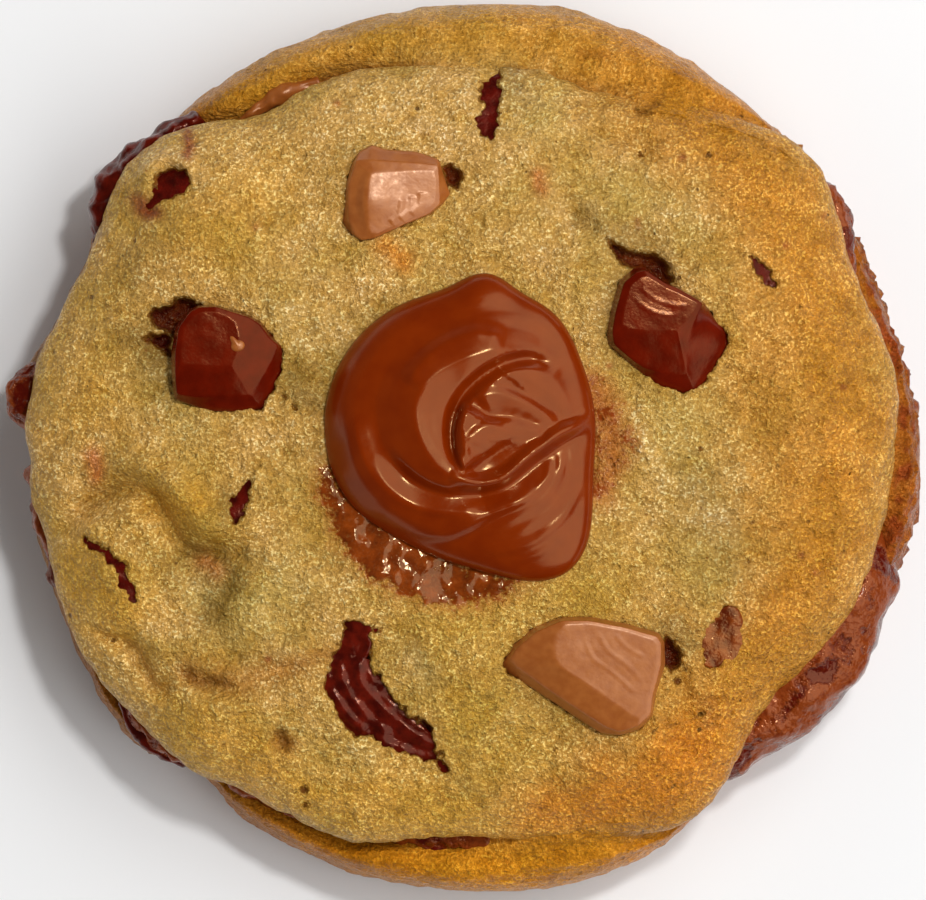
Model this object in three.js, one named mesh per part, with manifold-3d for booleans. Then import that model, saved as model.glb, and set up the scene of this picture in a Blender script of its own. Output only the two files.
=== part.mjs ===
// A large stuffed cookie, about 11 cm across and 3 cm tall. Two rounds of dough are baked together
// round a layer of chocolate filling, which bulges out at one side. Chunks of chocolate sit in pits
// in the top, and a swirled dollop of chocolate spread lies in the middle.
//
// The origin is on the table under the middle of the cookie. +X is right and +Y is up in the plan
// of the top, and +Z is up. All sizes are in millimetres and all angles in degrees.

import * as THREE from 'three';
import Module from 'manifold-3d';

const wasm = await Module();
wasm.setup();

// ---------------------------------------------------------------- driving dimensions

const GAP = 0.35;                // clearance between neighbouring pieces
const SEAM_HEIGHT = 11.3;        // where the two rounds of dough meet
const LOWER_WIDEST_HEIGHT = 5.8; // height of the lower round's widest line
const FLOOR_INSET = 6.0;         // the flat base stays this far inside the widest line
const LIP_RISE = 2.6;            // how far the lower round's rolled rim stands over the seam
const LIP_FULL_WIDTH = 5.0;      // rim width from which the lip has its full rise
const LIP_FIRST_WIDTH = 1.5;     // rim width at which a lip starts to show
const UPPER_WIDEST_HEIGHT = 16;  // height of the upper round's widest line
const UPPER_UNDERCUT = 2.2;      // how far the upper round draws in below its widest line
const CROWN_HEIGHT = 24.8;       // top of the dough at the middle
const CROWN_POWER = 2.7;         // higher keeps the top flatter towards the rim
const FILLING_THICKNESS = 3.0;   // the layer between the rounds
const FILLING_RIM = 1.4;         // length of the layer's rounded rim
const DOLLOP_SINK = 1.1;         // how far the dollop has sunk into the warm dough
const DOLLOP_HEIGHT = 6.6;       // the dollop's body over the dough
const DOUGH_SPACING = 3.9;       // length of a facet on the dough
const FILLING_SPACING = 4.6;     // length of a facet on the filling's rim
const SPREAD_SPACING = 1.15;     // length of a facet on the dollop

// Outlines seen from above: a base radius with smooth bumps and dents round it.
const LOWER_OUTLINE = {
  base: 52.6,
  bumps: [
    { at: -5, spread: 14, push: 2.7 },
    { at: 42, spread: 12, push: 1.2 },
    { at: 74, spread: 14, push: 1.8 },
    { at: 115, spread: 16, push: 0.4 },
    { at: 157, spread: 8, push: -1.8 },
    { at: 170, spread: 4, push: 1.4 },
    { at: -165, spread: 16, push: -0.6 },
    { at: -140, spread: 5, push: 0.9 },
    { at: -129, spread: 5, push: -2.0 },
    { at: -117, spread: 10, push: -0.8 },
    { at: -75, spread: 16, push: 1.2 },
    { at: -49, spread: 5, push: -1.0 },
    { at: -38, spread: 12, push: -3.0 },
  ],
};
const UPPER_OUTLINE = {
  base: 51,
  bumps: [
    { at: 9, spread: 8, push: 1.5 },
    { at: 41, spread: 8, push: 3.9 },
    { at: 68, spread: 5, push: -1.2 },
    { at: 84, spread: 20, push: -5.0 },
    { at: 110, spread: 9, push: -1.2 },
    { at: 121, spread: 5, push: -2.6 },
    { at: 139, spread: 6, push: 1.8 },
    { at: 156, spread: 6, push: -0.9 },
    { at: 177, spread: 11, push: 1.4 },
    { at: -167, spread: 3, push: -0.8 },
    { at: -150, spread: 10, push: 0.9 },
    { at: -131, spread: 3, push: 0.8 },
    { at: -106, spread: 6, push: 1.8 },
    { at: -95, spread: 24, push: -4.6 },
    { at: -58, spread: 8, push: 2.9 },
    { at: -39, spread: 10, push: -3.2 },
  ],
};
const FILLING_OUTLINE = {
  base: 48.6,
  bumps: [
    { at: 34, spread: 8, push: 7.2 },
    { at: 88, spread: 30, push: -5.0 },
    { at: 178, spread: 22, push: 3.2 },
    { at: -138, spread: 7, push: 2.6 },
    { at: -93, spread: 9, push: -0.8 },
    { at: -60, spread: 10, push: -4.5 },
  ],
};
const DOLLOP_CENTRE = { x: -0.4, y: 2.8 };
const DOLLOP_OUTLINE = {
  base: 16.2,
  bumps: [
    { at: 52, spread: 14, push: 1.4 },
    { at: 80, spread: 9, push: 2.2 },
    { at: -118, spread: 16, push: -0.9 },
    { at: -53, spread: 17, push: 5.4 },
  ],
};

// Lumps and hollows of the dough's top: place, reach and height.
const DOUGH_LUMPS = [
  { x: -43, y: -15, reach: 7, height: 1.5 },
  { x: -31, y: -17.5, reach: 5.5, height: -1.6 },
  { x: -33, y: -34, reach: 9, height: 0.9 },
  { x: -27, y: -3, reach: 8, height: 0.7 },
  { x: -30, y: 28, reach: 9, height: 0.6 },
  { x: 3, y: -26, reach: 6, height: 0.9 },
  { x: -2, y: -38, reach: 6, height: -0.7 },
  { x: 20, y: -40, reach: 8, height: 0.8 },
  { x: 14, y: 37, reach: 9, height: 0.7 },
  { x: 36, y: 6, reach: 12, height: 0.8 },
  { x: 22, y: 25, reach: 4, height: -0.9 },
  { x: -6, y: 41, reach: 7, height: -0.7 },
];

// Creases and raised lips drawn over the dough's top: a path, its width and how high it stands.
const DOUGH_STROKES = [
  {
    path: [[-50, -10.5], [-43.5, -5.8], [-39, -4.6], [-35.5, -8.5], [-32.5, -12.2], [-27, -12]],
    width: 1.9, lift: -1.9,
  },
  { path: [[-40, -2], [-34, -4.5], [-31, -8.5], [-26, -9.5]], width: 2.6, lift: 1.0 },
  { path: [[-45.5, -21], [-40, -23.6], [-37, -27.8], [-34.5, -29]], width: 1.6, lift: -1.3 },
  { path: [[14, 39], [20, 37.2], [22.5, 35]], width: 1.8, lift: -0.8 },
  { path: [[-31, -21], [-26, -26], [-22, -24]], width: 1.8, lift: -0.7 },
];

// The swirl left in the dollop by a knife: ridges stand up and grooves are pressed in.
const SWIRL_STROKES = [
  { path: [[15, 3.3], [11.2, 2.1], [8.1, 0.3], [5.4, -1.9], [2.9, -3.6], [0.4, -3.0], [-2, -1.0]],
    width: 1.3, lift: 1.5 },
  { path: [[9, -0.9], [6.5, -3.6], [3.1, -5.8], [-1.1, -6.2], [-5, -4.2], [-8.2, -0.8]],
    width: 1.4, lift: -1.3 },
  { path: [[0.6, -2.0], [-1.4, 0.8], [-1.4, 4.2], [0.6, 7.6], [5.2, 10.2], [10, 10.6]],
    width: 1.4, lift: -1.4 },
  { path: [[-3.6, -0.5], [-4.6, 4.4], [-2.4, 8.4], [2.9, 12.2], [9, 12.9]], width: 1.6, lift: 0.9 },
  { path: [[2.1, 6.3], [4.4, 6.5], [7.6, 5.2], [11.2, 3.1]], width: 1.2, lift: 1.1 },
  { path: [[5.0, 9.0], [8.4, 9.2], [11, 7.6], [13, 4.4]], width: 1.4, lift: 0.8 },
  { path: [[1.2, 0.4], [3, 2.4], [6.6, 2.2]], width: 1.1, lift: 0.8 },
  { path: [[2.4, -1.0], [4.2, -0.4]], width: 1.3, lift: -1.0 },
  { path: [[-9, 8], [-5.6, 12.6], [0, 15.8], [6, 16]], width: 1.6, lift: 0.5 },
  { path: [[-12.5, 2], [-10.6, -4.5], [-5, -9.4], [2, -10.6], [8, -8]], width: 1.7, lift: 0.7 },
];

// Chunks of bar chocolate. Each corner has a point on the rim, where the chunk meets the dough,
// one on the shoulder, where the sides turn into the bevel, and one on the flat face.
const CHUNKS = {
  milk_chunk_1: {
    colour: 0xc28d6f,
    place: { x: -8, y: 31, sunk: 0.2, tiltX: 3, tiltY: -3 },
    depth: 3.4, rise: 2.3,
    corners: [
      [6.7, -0.4, 5.3, -0.5, 4.8, -0.4], [5.8, 1.8, 5.2, 1.4, 4.8, 1.3],
      [5.2, 3.8, 5.1, 3.1, 4.6, 2.4], [2.4, 4.8, 2.0, 3.4, 1.6, 2.4],
      [-1.1, 5.0, -1.2, 3.6, -1.0, 2.3], [-2.9, 5.6, -3.1, 3.7, -2.4, 2.2],
      [-4.4, 4.8, -4.7, 3.6, -2.9, 2.0], [-5.4, 3.1, -5.0, 2.6, -3.1, 1.2],
      [-6.0, 0.9, -5.6, 0.7, -3.2, 0.3], [-6.4, -1.8, -5.6, -1.7, -3.3, -1.3],
      [-6.7, -3.9, -5.5, -3.6, -3.2, -2.8], [-5.5, -5.6, -4.9, -5.1, -3.1, -4.2],
      [-4.3, -6.2, -4.0, -5.8, -2.8, -4.9], [-2.7, -5.9, -2.5, -5.6, -2.1, -5.0],
      [-0.8, -5.1, -0.7, -4.8, -0.5, -4.2], [1.2, -4.1, 1.2, -3.9, 1.2, -3.5],
      [4.1, -3.0, 4.0, -2.8, 3.6, -2.4], [5.6, -1.7, 5.3, -1.6, 4.7, -1.4],
    ],
  },
  dark_chunk_1: {
    colour: 0x6b1d0d,
    place: { x: -28.2, y: 10.6, sunk: 0.2, tiltX: -2, tiltY: 2 },
    depth: 3.6, rise: 3.0,
    corners: [
      [7.1, 0.2, 5.4, 0.2, 1.2, 0.9], [6.7, 2.0, 6.1, 1.8, 1.4, 2.0],
      [5.6, 3.0, 5.1, 2.7, 1.5, 2.8], [4.3, 4.7, 3.9, 4.3, 1.2, 3.9],
      [2.7, 5.6, 2.5, 5.2, 0.9, 4.7], [0.3, 6.3, 0.2, 5.9, 0.0, 5.3],
      [-1.4, 6.8, -1.4, 6.4, -1.4, 5.8], [-3.6, 6.7, -3.4, 6.3, -3.2, 5.7],
      [-4.8, 6.1, -4.4, 5.8, -4.1, 5.3], [-6.2, 4.1, -5.8, 3.9, -5.3, 3.7],
      [-6.7, 1.2, -6.2, 1.1, -5.6, 1.1], [-6.7, -2.0, -6.2, -2.2, -5.6, -0.3],
      [-6.3, -4.7, -6.0, -4.0, -5.2, -0.6], [-3.6, -5.7, -3.6, -4.3, -3.2, -0.7],
      [-1.8, -6.2, -1.4, -4.2, -1.4, -0.8], [2.4, -6.3, 1.6, -4.1, -0.2, -0.8],
      [4.4, -5.9, 2.7, -4.0, 0.5, -0.7], [5.5, -4.2, 3.3, -3.2, 0.8, -0.4],
      [6.6, -1.9, 4.4, -1.4, 1.0, 0.2],
    ],
  },
  dark_chunk_2: {
    colour: 0x70230b,
    place: { x: 24.5, y: 14, sunk: 0.2, tiltX: -2, tiltY: 4 },
    depth: 3.6, rise: 3.2,
    corners: [
      [7.3, 0.4, 2.4, 0.1, 1.7, 1.0], [5.8, 1.7, 3.4, 2.4, 2.9, 2.5],
      [4.3, 3.8, 3.9, 3.4, 3.3, 3.4], [1.0, 5.6, 0.9, 5.2, 0.8, 4.7],
      [-0.4, 6.1, -0.5, 5.7, -0.5, 5.2], [-2.9, 7.9, -2.9, 7.3, -2.7, 6.6],
      [-4.2, 7.8, -4.0, 7.1, -3.6, 6.4], [-6.0, 6.3, -5.5, 5.9, -4.8, 5.4],
      [-7.0, 2.7, -6.5, 2.6, -5.6, 2.5], [-7.5, -0.1, -6.9, -0.2, -5.8, 0.8],
      [-7.4, -1.5, -6.6, -1.6, -5.2, 0.3], [-4.8, -3.8, -4.1, -3.6, -3.4, 0.1],
      [-3.5, -4.9, -2.9, -4.3, -2.4, 0.0], [-0.9, -6.9, -0.6, -4.8, -0.6, 0.0],
      [1.9, -7.5, 1.6, -5.0, 0.6, 0.0], [3.4, -7.5, 2.0, -4.6, 0.9, -0.1],
      [5.0, -5.6, 2.0, -3.4, 1.0, 0.1], [7.5, -1.6, 1.8, -1.8, 1.2, 0.5],
    ],
  },
  milk_chunk_2: {
    colour: 0xb2754f,
    place: { x: 15.5, y: -26.5, sunk: 0.3, tiltX: 2, tiltY: -2 },
    depth: 3.4, rise: 3.5,
    corners: [
      [8.8, 1.0, 8.2, 1.0, 7.7, 0.8], [8.6, 3.6, 8.2, 3.5, 7.7, 3.4],
      [7.9, 4.8, 7.7, 4.4, 7.2, 4.0], [3.9, 5.9, 3.8, 5.5, 3.6, 5.1],
      [-0.3, 6.7, -0.3, 6.3, -0.3, 5.9], [-3.7, 6.7, -3.6, 6.3, -3.2, 5.8],
      [-7.0, 5.5, -6.6, 5.0, -4.2, 4.6], [-9.8, 3.4, -9.0, 2.9, -4.7, 3.0],
      [-11.4, 0.8, -9.7, 1.7, -4.5, 1.8], [-10.6, -0.1, -8.8, 0.7, -3.8, 0.8],
      [-6.8, -2.5, -6.0, -1.4, -2.0, -0.4], [-2.3, -5.4, -1.5, -4.4, 0.6, -2.1],
      [0.8, -7.4, 1.6, -6.4, 2.9, -3.8], [3.2, -7.7, 3.2, -7.0, 4.6, -5.0],
      [5.7, -6.9, 5.5, -6.3, 5.7, -5.4], [7.2, -5.3, 6.9, -5.0, 6.5, -4.6],
      [7.6, -2.6, 7.3, -2.4, 6.9, -2.2],
    ],
  },
};
const CHUNK_BEVEL_SLOPE = 0.32;  // fall of the bevel for each millimetre away from the flat face
const CHUNK_LOWEST_SHOULDER = 1.1;
const CHUNK_FLOOR_SHARE = 0.88;  // the sunk underside's size against the rim's
const CHUNK_SIDE_SHARE = 0.85;   // how near the sides come to the shoulder before they round over
const PIT_FLOOR_SHARE = 0.92;    // the pit's floor against the chunk's rim
const PIT_RIM_GAP = 1.3 * GAP;   // clearance round a chunk at the dough's surface
const PIT_MOUTH_GAP = 1.8 * GAP; // clearance at the top of the cut
const CUT_ABOVE = 8;             // how far the cuts for pits and seat reach over the dough

// Softer pieces of chocolate: half sunk strips along a path, wide or narrow from point to point.
// A point is x, y and the half width there.
const MELTED_PIECES = {
  melted_chunk: {
    colour: 0x611f13, roughness: 0.25, depth: 2.4, recess: 0.5,
    path: [
      [-11.6, -21.6, 1.2], [-14.0, -24.0, 1.9], [-13.8, -27.5, 2.6], [-12.2, -30.6, 3.2],
      [-9.6, -33.2, 2.7], [-6.4, -35.6, 2.2], [-3.6, -37.2, 1.5], [-2.2, -38.4, 0.7],
    ],
  },
  melted_strip: {
    colour: 0x5a1c14, roughness: 0.25, depth: 1.8, recess: 0.3,
    path: [
      [3.5, 45.4, 0.9], [3.2, 43.2, 1.4], [3.4, 41.0, 1.2], [2.9, 38.8, 1.5], [3.3, 37.6, 0.8],
    ],
  },
  melted_streak: {
    colour: 0x7a2a18, roughness: 0.3, depth: 1.5, recess: 0.2,
    path: [
      [-45.4, -10.8, 0.5], [-43.2, -12.0, 0.8], [-41.2, -13.8, 0.8], [-40.0, -16.2, 0.7],
      [-39.2, -18.2, 0.5],
    ],
  },
  melted_shard: {
    colour: 0x5c160c, roughness: 0.3, depth: 1.8, recess: 0.3,
    path: [[-25.6, -3.9, 0.5], [-26.4, -5.6, 1.0], [-27.0, -7.4, 1.2], [-27.2, -8.4, 0.6]],
  },
  buried_milk_chunk: {
    colour: 0x9a5a34, roughness: 0.5, depth: 1.8, recess: 0.1,
    path: [
      [32.0, -19.6, 0.9], [31.4, -21.4, 1.9], [30.6, -23.4, 2.1], [29.8, -25.2, 1.2],
    ],
  },
  small_dark_bit: {
    colour: 0x5a1a10, roughness: 0.35, depth: 1.4, recess: 0.2,
    path: [[34.6, 23.0, 0.5], [35.4, 21.8, 0.9], [36.3, 20.4, 0.8], [37.2, 19.4, 0.4]],
  },
  torn_spot_chunk: {
    colour: 0x6a1d10, roughness: 0.35, depth: 1.8, recess: 0.3,
    path: [[-37.4, 29.4, 0.6], [-35.6, 30.9, 1.2], [-34.0, 32.0, 1.1], [-33.0, 33.2, 0.6]],
  },
};

// Chocolate pressed out between the two rounds, along the seam. A point is the angle round the
// cookie, the radius, the height, the half width and the half height there.
const SEAM_PIECES = {
  edge_chunk_left: {
    colour: 0x5c2c22, roughness: 0.55,
    path: [
      [169.0, 51.9, 12.0, 1.5, 1.6], [171.0, 52.6, 12.0, 2.2, 2.5], [173.2, 53.0, 12.0, 2.5, 2.9],
      [175.4, 52.5, 12.0, 2.1, 2.4], [177.2, 51.7, 12.0, 1.2, 1.4],
    ],
  },
  edge_chunk_upper_left: {
    colour: 0x5a2118, roughness: 0.5,
    path: [
      [128.6, 50.6, 12.6, 1.0, 1.3], [131.5, 51.2, 12.6, 1.7, 2.3], [135.0, 51.6, 12.6, 1.9, 2.7],
      [139.0, 52.1, 12.6, 2.3, 2.9], [143.0, 52.0, 12.6, 2.4, 2.8], [147.0, 51.4, 12.6, 1.9, 2.2],
      [150.4, 50.6, 12.6, 0.9, 1.2],
    ],
  },
  crease_sliver: {
    colour: 0x9c5a34, roughness: 0.45,
    path: [
      [111.5, 47.4, 12.8, 0.5, 0.6], [115.5, 47.8, 13.0, 0.9, 1.1], [120.0, 47.8, 13.0, 0.9, 1.1],
      [124.5, 47.7, 12.8, 0.5, 0.6],
    ],
  },
  melted_pool_bottom: {
    colour: 0x4a120a, roughness: 0.2,
    path: [
      [-98.5, 46.9, 12.2, 0.6, 0.6], [-95.0, 47.2, 12.3, 1.2, 1.0], [-90.5, 47.0, 12.3, 1.1, 1.0],
      [-86.0, 46.8, 12.2, 0.6, 0.6],
    ],
  },
  melted_pool_lower_left: {
    colour: 0x54190d, roughness: 0.25,
    path: [
      [-143.5, 50.9, 12.4, 0.6, 0.7], [-139.5, 51.3, 12.2, 1.3, 1.1], [-135.5, 50.8, 12.0, 1.3, 1.1],
      [-131.5, 50.0, 12.0, 0.6, 0.7],
    ],
  },
};
const LEAK = {
  colour: 0x86421f, roughness: 0.6,
  path: [
    [-11.5, 48.8, 11.6, 3.0, 2.2], [-16.0, 49.0, 11.2, 5.5, 4.2], [-22.0, 48.5, 10.8, 6.4, 5.2],
    [-29.0, 48.3, 10.6, 6.9, 5.6], [-35.0, 48.0, 10.6, 6.7, 5.4], [-40.5, 47.2, 10.8, 5.6, 5.0],
    [-46.0, 46.6, 11.0, 5.2, 4.4], [-51.0, 46.6, 11.4, 4.6, 3.2], [-54.5, 46.8, 11.8, 2.6, 1.6],
  ],
};
const STRIP_STEPS = 2;           // sections made between two given points of a strip
const STRIP_SIDES = 8;           // corners of a strip's section
const LEAK_SIDES = 12;           // corners of the leak's section

// ---------------------------------------------------------------- small helpers

const DEGREE = Math.PI / 180;

const polar = (degrees, radius, z) =>
  [radius * Math.cos(degrees * DEGREE), radius * Math.sin(degrees * DEGREE), z];

const mix = (a, b, share) => a + (b - a) * share;

const clamp01 = (value) => Math.min(1, Math.max(0, value));

function smoothStep(from, to, value) {
  const share = clamp01((value - from) / (to - from));
  return share * share * (3 - 2 * share);
}

// The turn from one angle to another, from -180 to 180.
function turnBetween(a, b) {
  const turn = (((a - b + 180) % 360) + 360) % 360;
  return turn - 180;
}

function outlineRadius(outline, degrees) {
  let radius = outline.base;
  for (const bump of outline.bumps) {
    const off = turnBetween(degrees, bump.at) / bump.spread;
    radius += bump.push * Math.exp(-0.5 * off * off);
  }
  return radius;
}

function sumOfLumps(lumps, x, y) {
  let height = 0;
  for (const lump of lumps) {
    const off = Math.hypot(x - lump.x, y - lump.y) / lump.reach;
    height += lump.height * Math.exp(-off * off);
  }
  return height;
}

// Strokes are smooth curves through their given points, kept as short straight pieces.
function prepareStrokes(strokes) {
  return strokes.map((stroke) => {
    const points = stroke.path.map(([x, y]) => new THREE.Vector3(x, y, 0));
    const curve = new THREE.CatmullRomCurve3(points, false, 'centripetal');
    return { ...stroke, points: curve.getPoints(6 * (points.length - 1)) };
  });
}

// Height that the strokes add at a place: full on the path, fading with distance and to its ends.
function sumOfStrokes(strokes, x, y) {
  let height = 0;
  for (const stroke of strokes) {
    const { points, width, lift } = stroke;
    const last = points.length - 1;
    let nearest = Infinity;
    let along = 0;
    for (let i = 0; i < last; i += 1) {
      const a = points[i];
      const b = points[i + 1];
      const dx = b.x - a.x;
      const dy = b.y - a.y;
      const share = clamp01(((x - a.x) * dx + (y - a.y) * dy) / (dx * dx + dy * dy));
      const distance = Math.hypot(x - a.x - share * dx, y - a.y - share * dy);
      if (distance < nearest) {
        nearest = distance;
        along = (i + share) / last;
      }
    }
    const taper = smoothStep(0, 0.2, along) * smoothStep(1, 0.8, along);
    height += lift * mix(0.35, 1, taper) * Math.exp(-((nearest / width) ** 2));
  }
  return height;
}

// Long soft waves that keep the dough from looking turned on a lathe.
function softWaves(x, y) {
  return 0.16 * Math.sin(0.31 * x + 0.17 * y + 0.6)
    + 0.14 * Math.sin(0.23 * y - 0.36 * x + 2.1)
    + 0.10 * Math.sin(0.52 * x + 0.41 * y + 4.0)
    + 0.08 * Math.sin(0.61 * y - 0.44 * x + 1.2);
}

// ---------------------------------------------------------------- solids from rings

// A closed solid through a stack of rings. A ring is a list of points that runs anticlockwise as
// seen from where the stack ends, with its points' turns (0 to 1) beside it, and the first and the
// last ring are single points. Neighbouring rings may have different numbers of points.
function ringSolid(rings) {
  const positions = [];
  const index = [];
  const starts = [];
  for (const ring of rings) {
    starts.push(positions.length / 3);
    for (const point of ring.points) positions.push(...point);
  }
  for (let k = 0; k + 1 < rings.length; k += 1) {
    stitch(index, rings[k], starts[k], rings[k + 1], starts[k + 1]);
  }
  const geometry = new THREE.BufferGeometry();
  geometry.setAttribute('position', new THREE.Float32BufferAttribute(positions, 3));
  geometry.setIndex(index);
  return geometry;
}

function stitch(index, low, lowStart, high, highStart) {
  const lowCount = low.points.length;
  const highCount = high.points.length;
  const turnOf = (ring, i) => (i < ring.points.length ? ring.turns[i] : 1 + ring.turns[0]);
  const lowTotal = lowCount > 1 ? lowCount : 0;
  const highTotal = highCount > 1 ? highCount : 0;
  let i = 0;
  let j = 0;
  while (i < lowTotal || j < highTotal) {
    const stepLow = j >= highTotal || (i < lowTotal && turnOf(low, i + 1) <= turnOf(high, j + 1));
    const a = lowStart + (i % lowCount);
    const b = highStart + (j % highCount);
    if (stepLow) {
      index.push(a, lowStart + ((i + 1) % lowCount), b);
      i += 1;
    } else {
      index.push(a, highStart + ((j + 1) % highCount), b);
      j += 1;
    }
  }
}

const pole = (x, y, z) => ({ points: [[x, y, z]], turns: [0] });

// A ring with evenly spaced turns, each point worked out from its angle.
function ring(count, pointAt) {
  const points = [];
  const turns = [];
  for (let i = 0; i < count; i += 1) {
    points.push(pointAt((360 * i) / count));
    turns.push(i / count);
  }
  return { points, turns };
}

const ringCount = (radius, spacing) => Math.max(8, Math.round((2 * Math.PI * radius) / spacing));

function toManifold(geometry) {
  return new wasm.Manifold(new wasm.Mesh({
    numProp: 3,
    vertProperties: new Float32Array(geometry.attributes.position.array),
    triVerts: new Uint32Array(geometry.index.array),
  }));
}

function toGeometry(manifold) {
  const mesh = manifold.getMesh();
  const geometry = new THREE.BufferGeometry();
  geometry.setAttribute('position', new THREE.Float32BufferAttribute(mesh.vertProperties, 3));
  geometry.setIndex(Array.from(mesh.triVerts));
  return geometry;
}

// ---------------------------------------------------------------- the two rounds of dough

const doughStrokes = prepareStrokes(DOUGH_STROKES);

function doughTop(x, y) {
  const degrees = Math.atan2(y, x) / DEGREE;
  const share = Math.min(1, Math.hypot(x, y) / outlineRadius(UPPER_OUTLINE, degrees));
  const crown = Math.sqrt(1 - share ** CROWN_POWER);
  const relief = sumOfLumps(DOUGH_LUMPS, x, y) + sumOfStrokes(doughStrokes, x, y)
    + softWaves(x, y);
  const fade = smoothStep(1, 0.86, share);
  return mix(UPPER_WIDEST_HEIGHT, CROWN_HEIGHT, crown) + fade * relief;
}

// A ring of the lower round, its radius worked out for each angle.
function lowerRing(radiusAndHeight) {
  const count = ringCount(LOWER_OUTLINE.base, DOUGH_SPACING);
  return ring(count, (degrees) => {
    const outer = outlineRadius(LOWER_OUTLINE, degrees);
    const seam = Math.min(outlineRadius(UPPER_OUTLINE, degrees), outer - 0.6);
    const [radius, z] = radiusAndHeight(outer, seam);
    return polar(degrees, radius, z);
  });
}

function lowerDough() {
  const rings = [pole(0, 0, 0)];
  const half = 90 * DEGREE;
  for (const share of [0, 0.3, 0.6, 1]) {
    const turn = (1 - share) * half;
    rings.push(lowerRing((outer) => [
      outer - FLOOR_INSET * (1 - Math.cos(turn)) ** 1.15,
      LOWER_WIDEST_HEIGHT * (1 - Math.sin(turn)),
    ]));
  }
  const lipHeight = (outer, seam) =>
    SEAM_HEIGHT + LIP_RISE * smoothStep(LIP_FIRST_WIDTH, LIP_FULL_WIDTH, outer - seam);
  const lipWidth = (outer, seam) => Math.max(0.8, (outer - seam) / 2);
  for (const share of [0.35, 0.65, 1]) {
    const turn = share * half;
    rings.push(lowerRing((outer, seam) => [
      outer - lipWidth(outer, seam) * (1 - Math.cos(turn)),
      mix(LOWER_WIDEST_HEIGHT, lipHeight(outer, seam), Math.sin(turn)),
    ]));
  }
  rings.push(lowerRing((outer, seam) => [
    mix(outer - lipWidth(outer, seam), seam - 1, 0.5),
    mix(lipHeight(outer, seam), SEAM_HEIGHT, 0.6),
  ]));
  rings.push(lowerRing((outer, seam) => [seam - 1.4, SEAM_HEIGHT]));
  rings.push(pole(0, 0, SEAM_HEIGHT));
  return ringSolid(rings);
}

function upperDough() {
  const floor = SEAM_HEIGHT + GAP;
  const radiusAt = (degrees) => outlineRadius(UPPER_OUTLINE, degrees);
  const rimCount = ringCount(UPPER_OUTLINE.base, DOUGH_SPACING);
  const rings = [pole(0, 0, floor)];
  for (const turn of [90, 60, 30]) {
    rings.push(ring(rimCount, (degrees) => polar(
      degrees,
      radiusAt(degrees) - UPPER_UNDERCUT * (1 - Math.cos(turn * DEGREE)),
      mix(UPPER_WIDEST_HEIGHT, floor, Math.sin(turn * DEGREE)),
    )));
  }
  const domeRing = (share) => {
    const count = Math.min(rimCount, ringCount(share * UPPER_OUTLINE.base, DOUGH_SPACING));
    return ring(count, (degrees) => {
      const [x, y] = polar(degrees, share * radiusAt(degrees), 0);
      return [x, y, doughTop(x, y)];
    });
  };
  for (const share of [1, 0.993, 0.972, 0.938]) rings.push(domeRing(share));
  const steps = Math.round((0.938 * UPPER_OUTLINE.base) / (0.9 * DOUGH_SPACING));
  for (let k = steps - 1; k > 0; k -= 1) rings.push(domeRing((0.938 * k) / steps));
  rings.push(pole(0, 0, doughTop(0, 0)));
  return ringSolid(rings);
}

// ---------------------------------------------------------------- the filling

// The layer between the rounds. Grown by a gap, it is the room that the dough leaves for it.
function fillingLayer(grow) {
  const middle = SEAM_HEIGHT + GAP + FILLING_THICKNESS / 2 - 0.4;
  const half = FILLING_THICKNESS / 2 + grow;
  const rings = [pole(0, 0, middle - half)];
  for (const turn of [-90, -35, 0, 35, 90]) {
    rings.push(ring(ringCount(FILLING_OUTLINE.base, FILLING_SPACING), (degrees) => polar(
      degrees,
      outlineRadius(FILLING_OUTLINE, degrees) + grow
        - (FILLING_RIM + grow) * (1 - Math.cos(turn * DEGREE)),
      middle + half * Math.sin(turn * DEGREE),
    )));
  }
  rings.push(pole(0, 0, middle + half));
  return ringSolid(rings);
}

// A tube with closed round ends along a path of stations. A station gives its middle, the half
// sizes of its section and the direction that the section's width points in.
function bulgeAlong(stations, sides, grow) {
  const rings = stations.map((station) => ring(sides, (degrees) => {
    const across = (station.halfWidth + grow) * Math.cos(degrees * DEGREE);
    const up = (station.halfHeight + grow) * Math.sin(degrees * DEGREE);
    return [
      station.x + across * station.acrossX,
      station.y + across * station.acrossY,
      station.z + up,
    ];
  }));
  const endPole = (station, next) => {
    const length = Math.hypot(station.x - next.x, station.y - next.y);
    const reach = (0.5 * Math.min(station.halfWidth, station.halfHeight) + grow) / length;
    return pole(
      station.x + (station.x - next.x) * reach,
      station.y + (station.y - next.y) * reach,
      station.z,
    );
  };
  const last = stations.length - 1;
  return ringSolid([
    endPole(stations[0], stations[1]),
    ...rings,
    endPole(stations[last], stations[last - 1]),
  ]);
}

// Smooth stations through rows of numbers: a curve through each column.
function smoothRows(rows, steps) {
  const smooth = [];
  const at = (k, column) => rows[Math.min(rows.length - 1, Math.max(0, k))][column];
  for (let k = 0; k + 1 < rows.length; k += 1) {
    for (let step = 0; step < steps; step += 1) {
      const t = step / steps;
      smooth.push(rows[0].map((unused, column) => {
        const [a, b, c, d] = [at(k - 1, column), at(k, column), at(k + 1, column), at(k + 2, column)];
        return b + 0.5 * t * (c - a + t * (2 * a - 5 * b + 4 * c - d + t * (3 * (b - c) + d - a)));
      }));
    }
  }
  smooth.push(rows[rows.length - 1]);
  return smooth;
}

// A bulge that follows the cookie's rim. Its path runs clockwise, so that its section, whose
// width points to the rim, turns the right way round.
function seamBulge(path, sides, steps, grow) {
  const clockwise = path[0][0] > path[path.length - 1][0] ? path : [...path].reverse();
  const stations = smoothRows(clockwise, steps).map((row) => {
    const [degrees, radius, z, halfWidth, halfHeight] = row;
    const [x, y] = polar(degrees, radius, z);
    const [acrossX, acrossY] = polar(degrees, 1, 0);
    return { x, y, z, halfWidth, halfHeight, acrossX, acrossY };
  });
  return bulgeAlong(stations, sides, grow);
}

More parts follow.
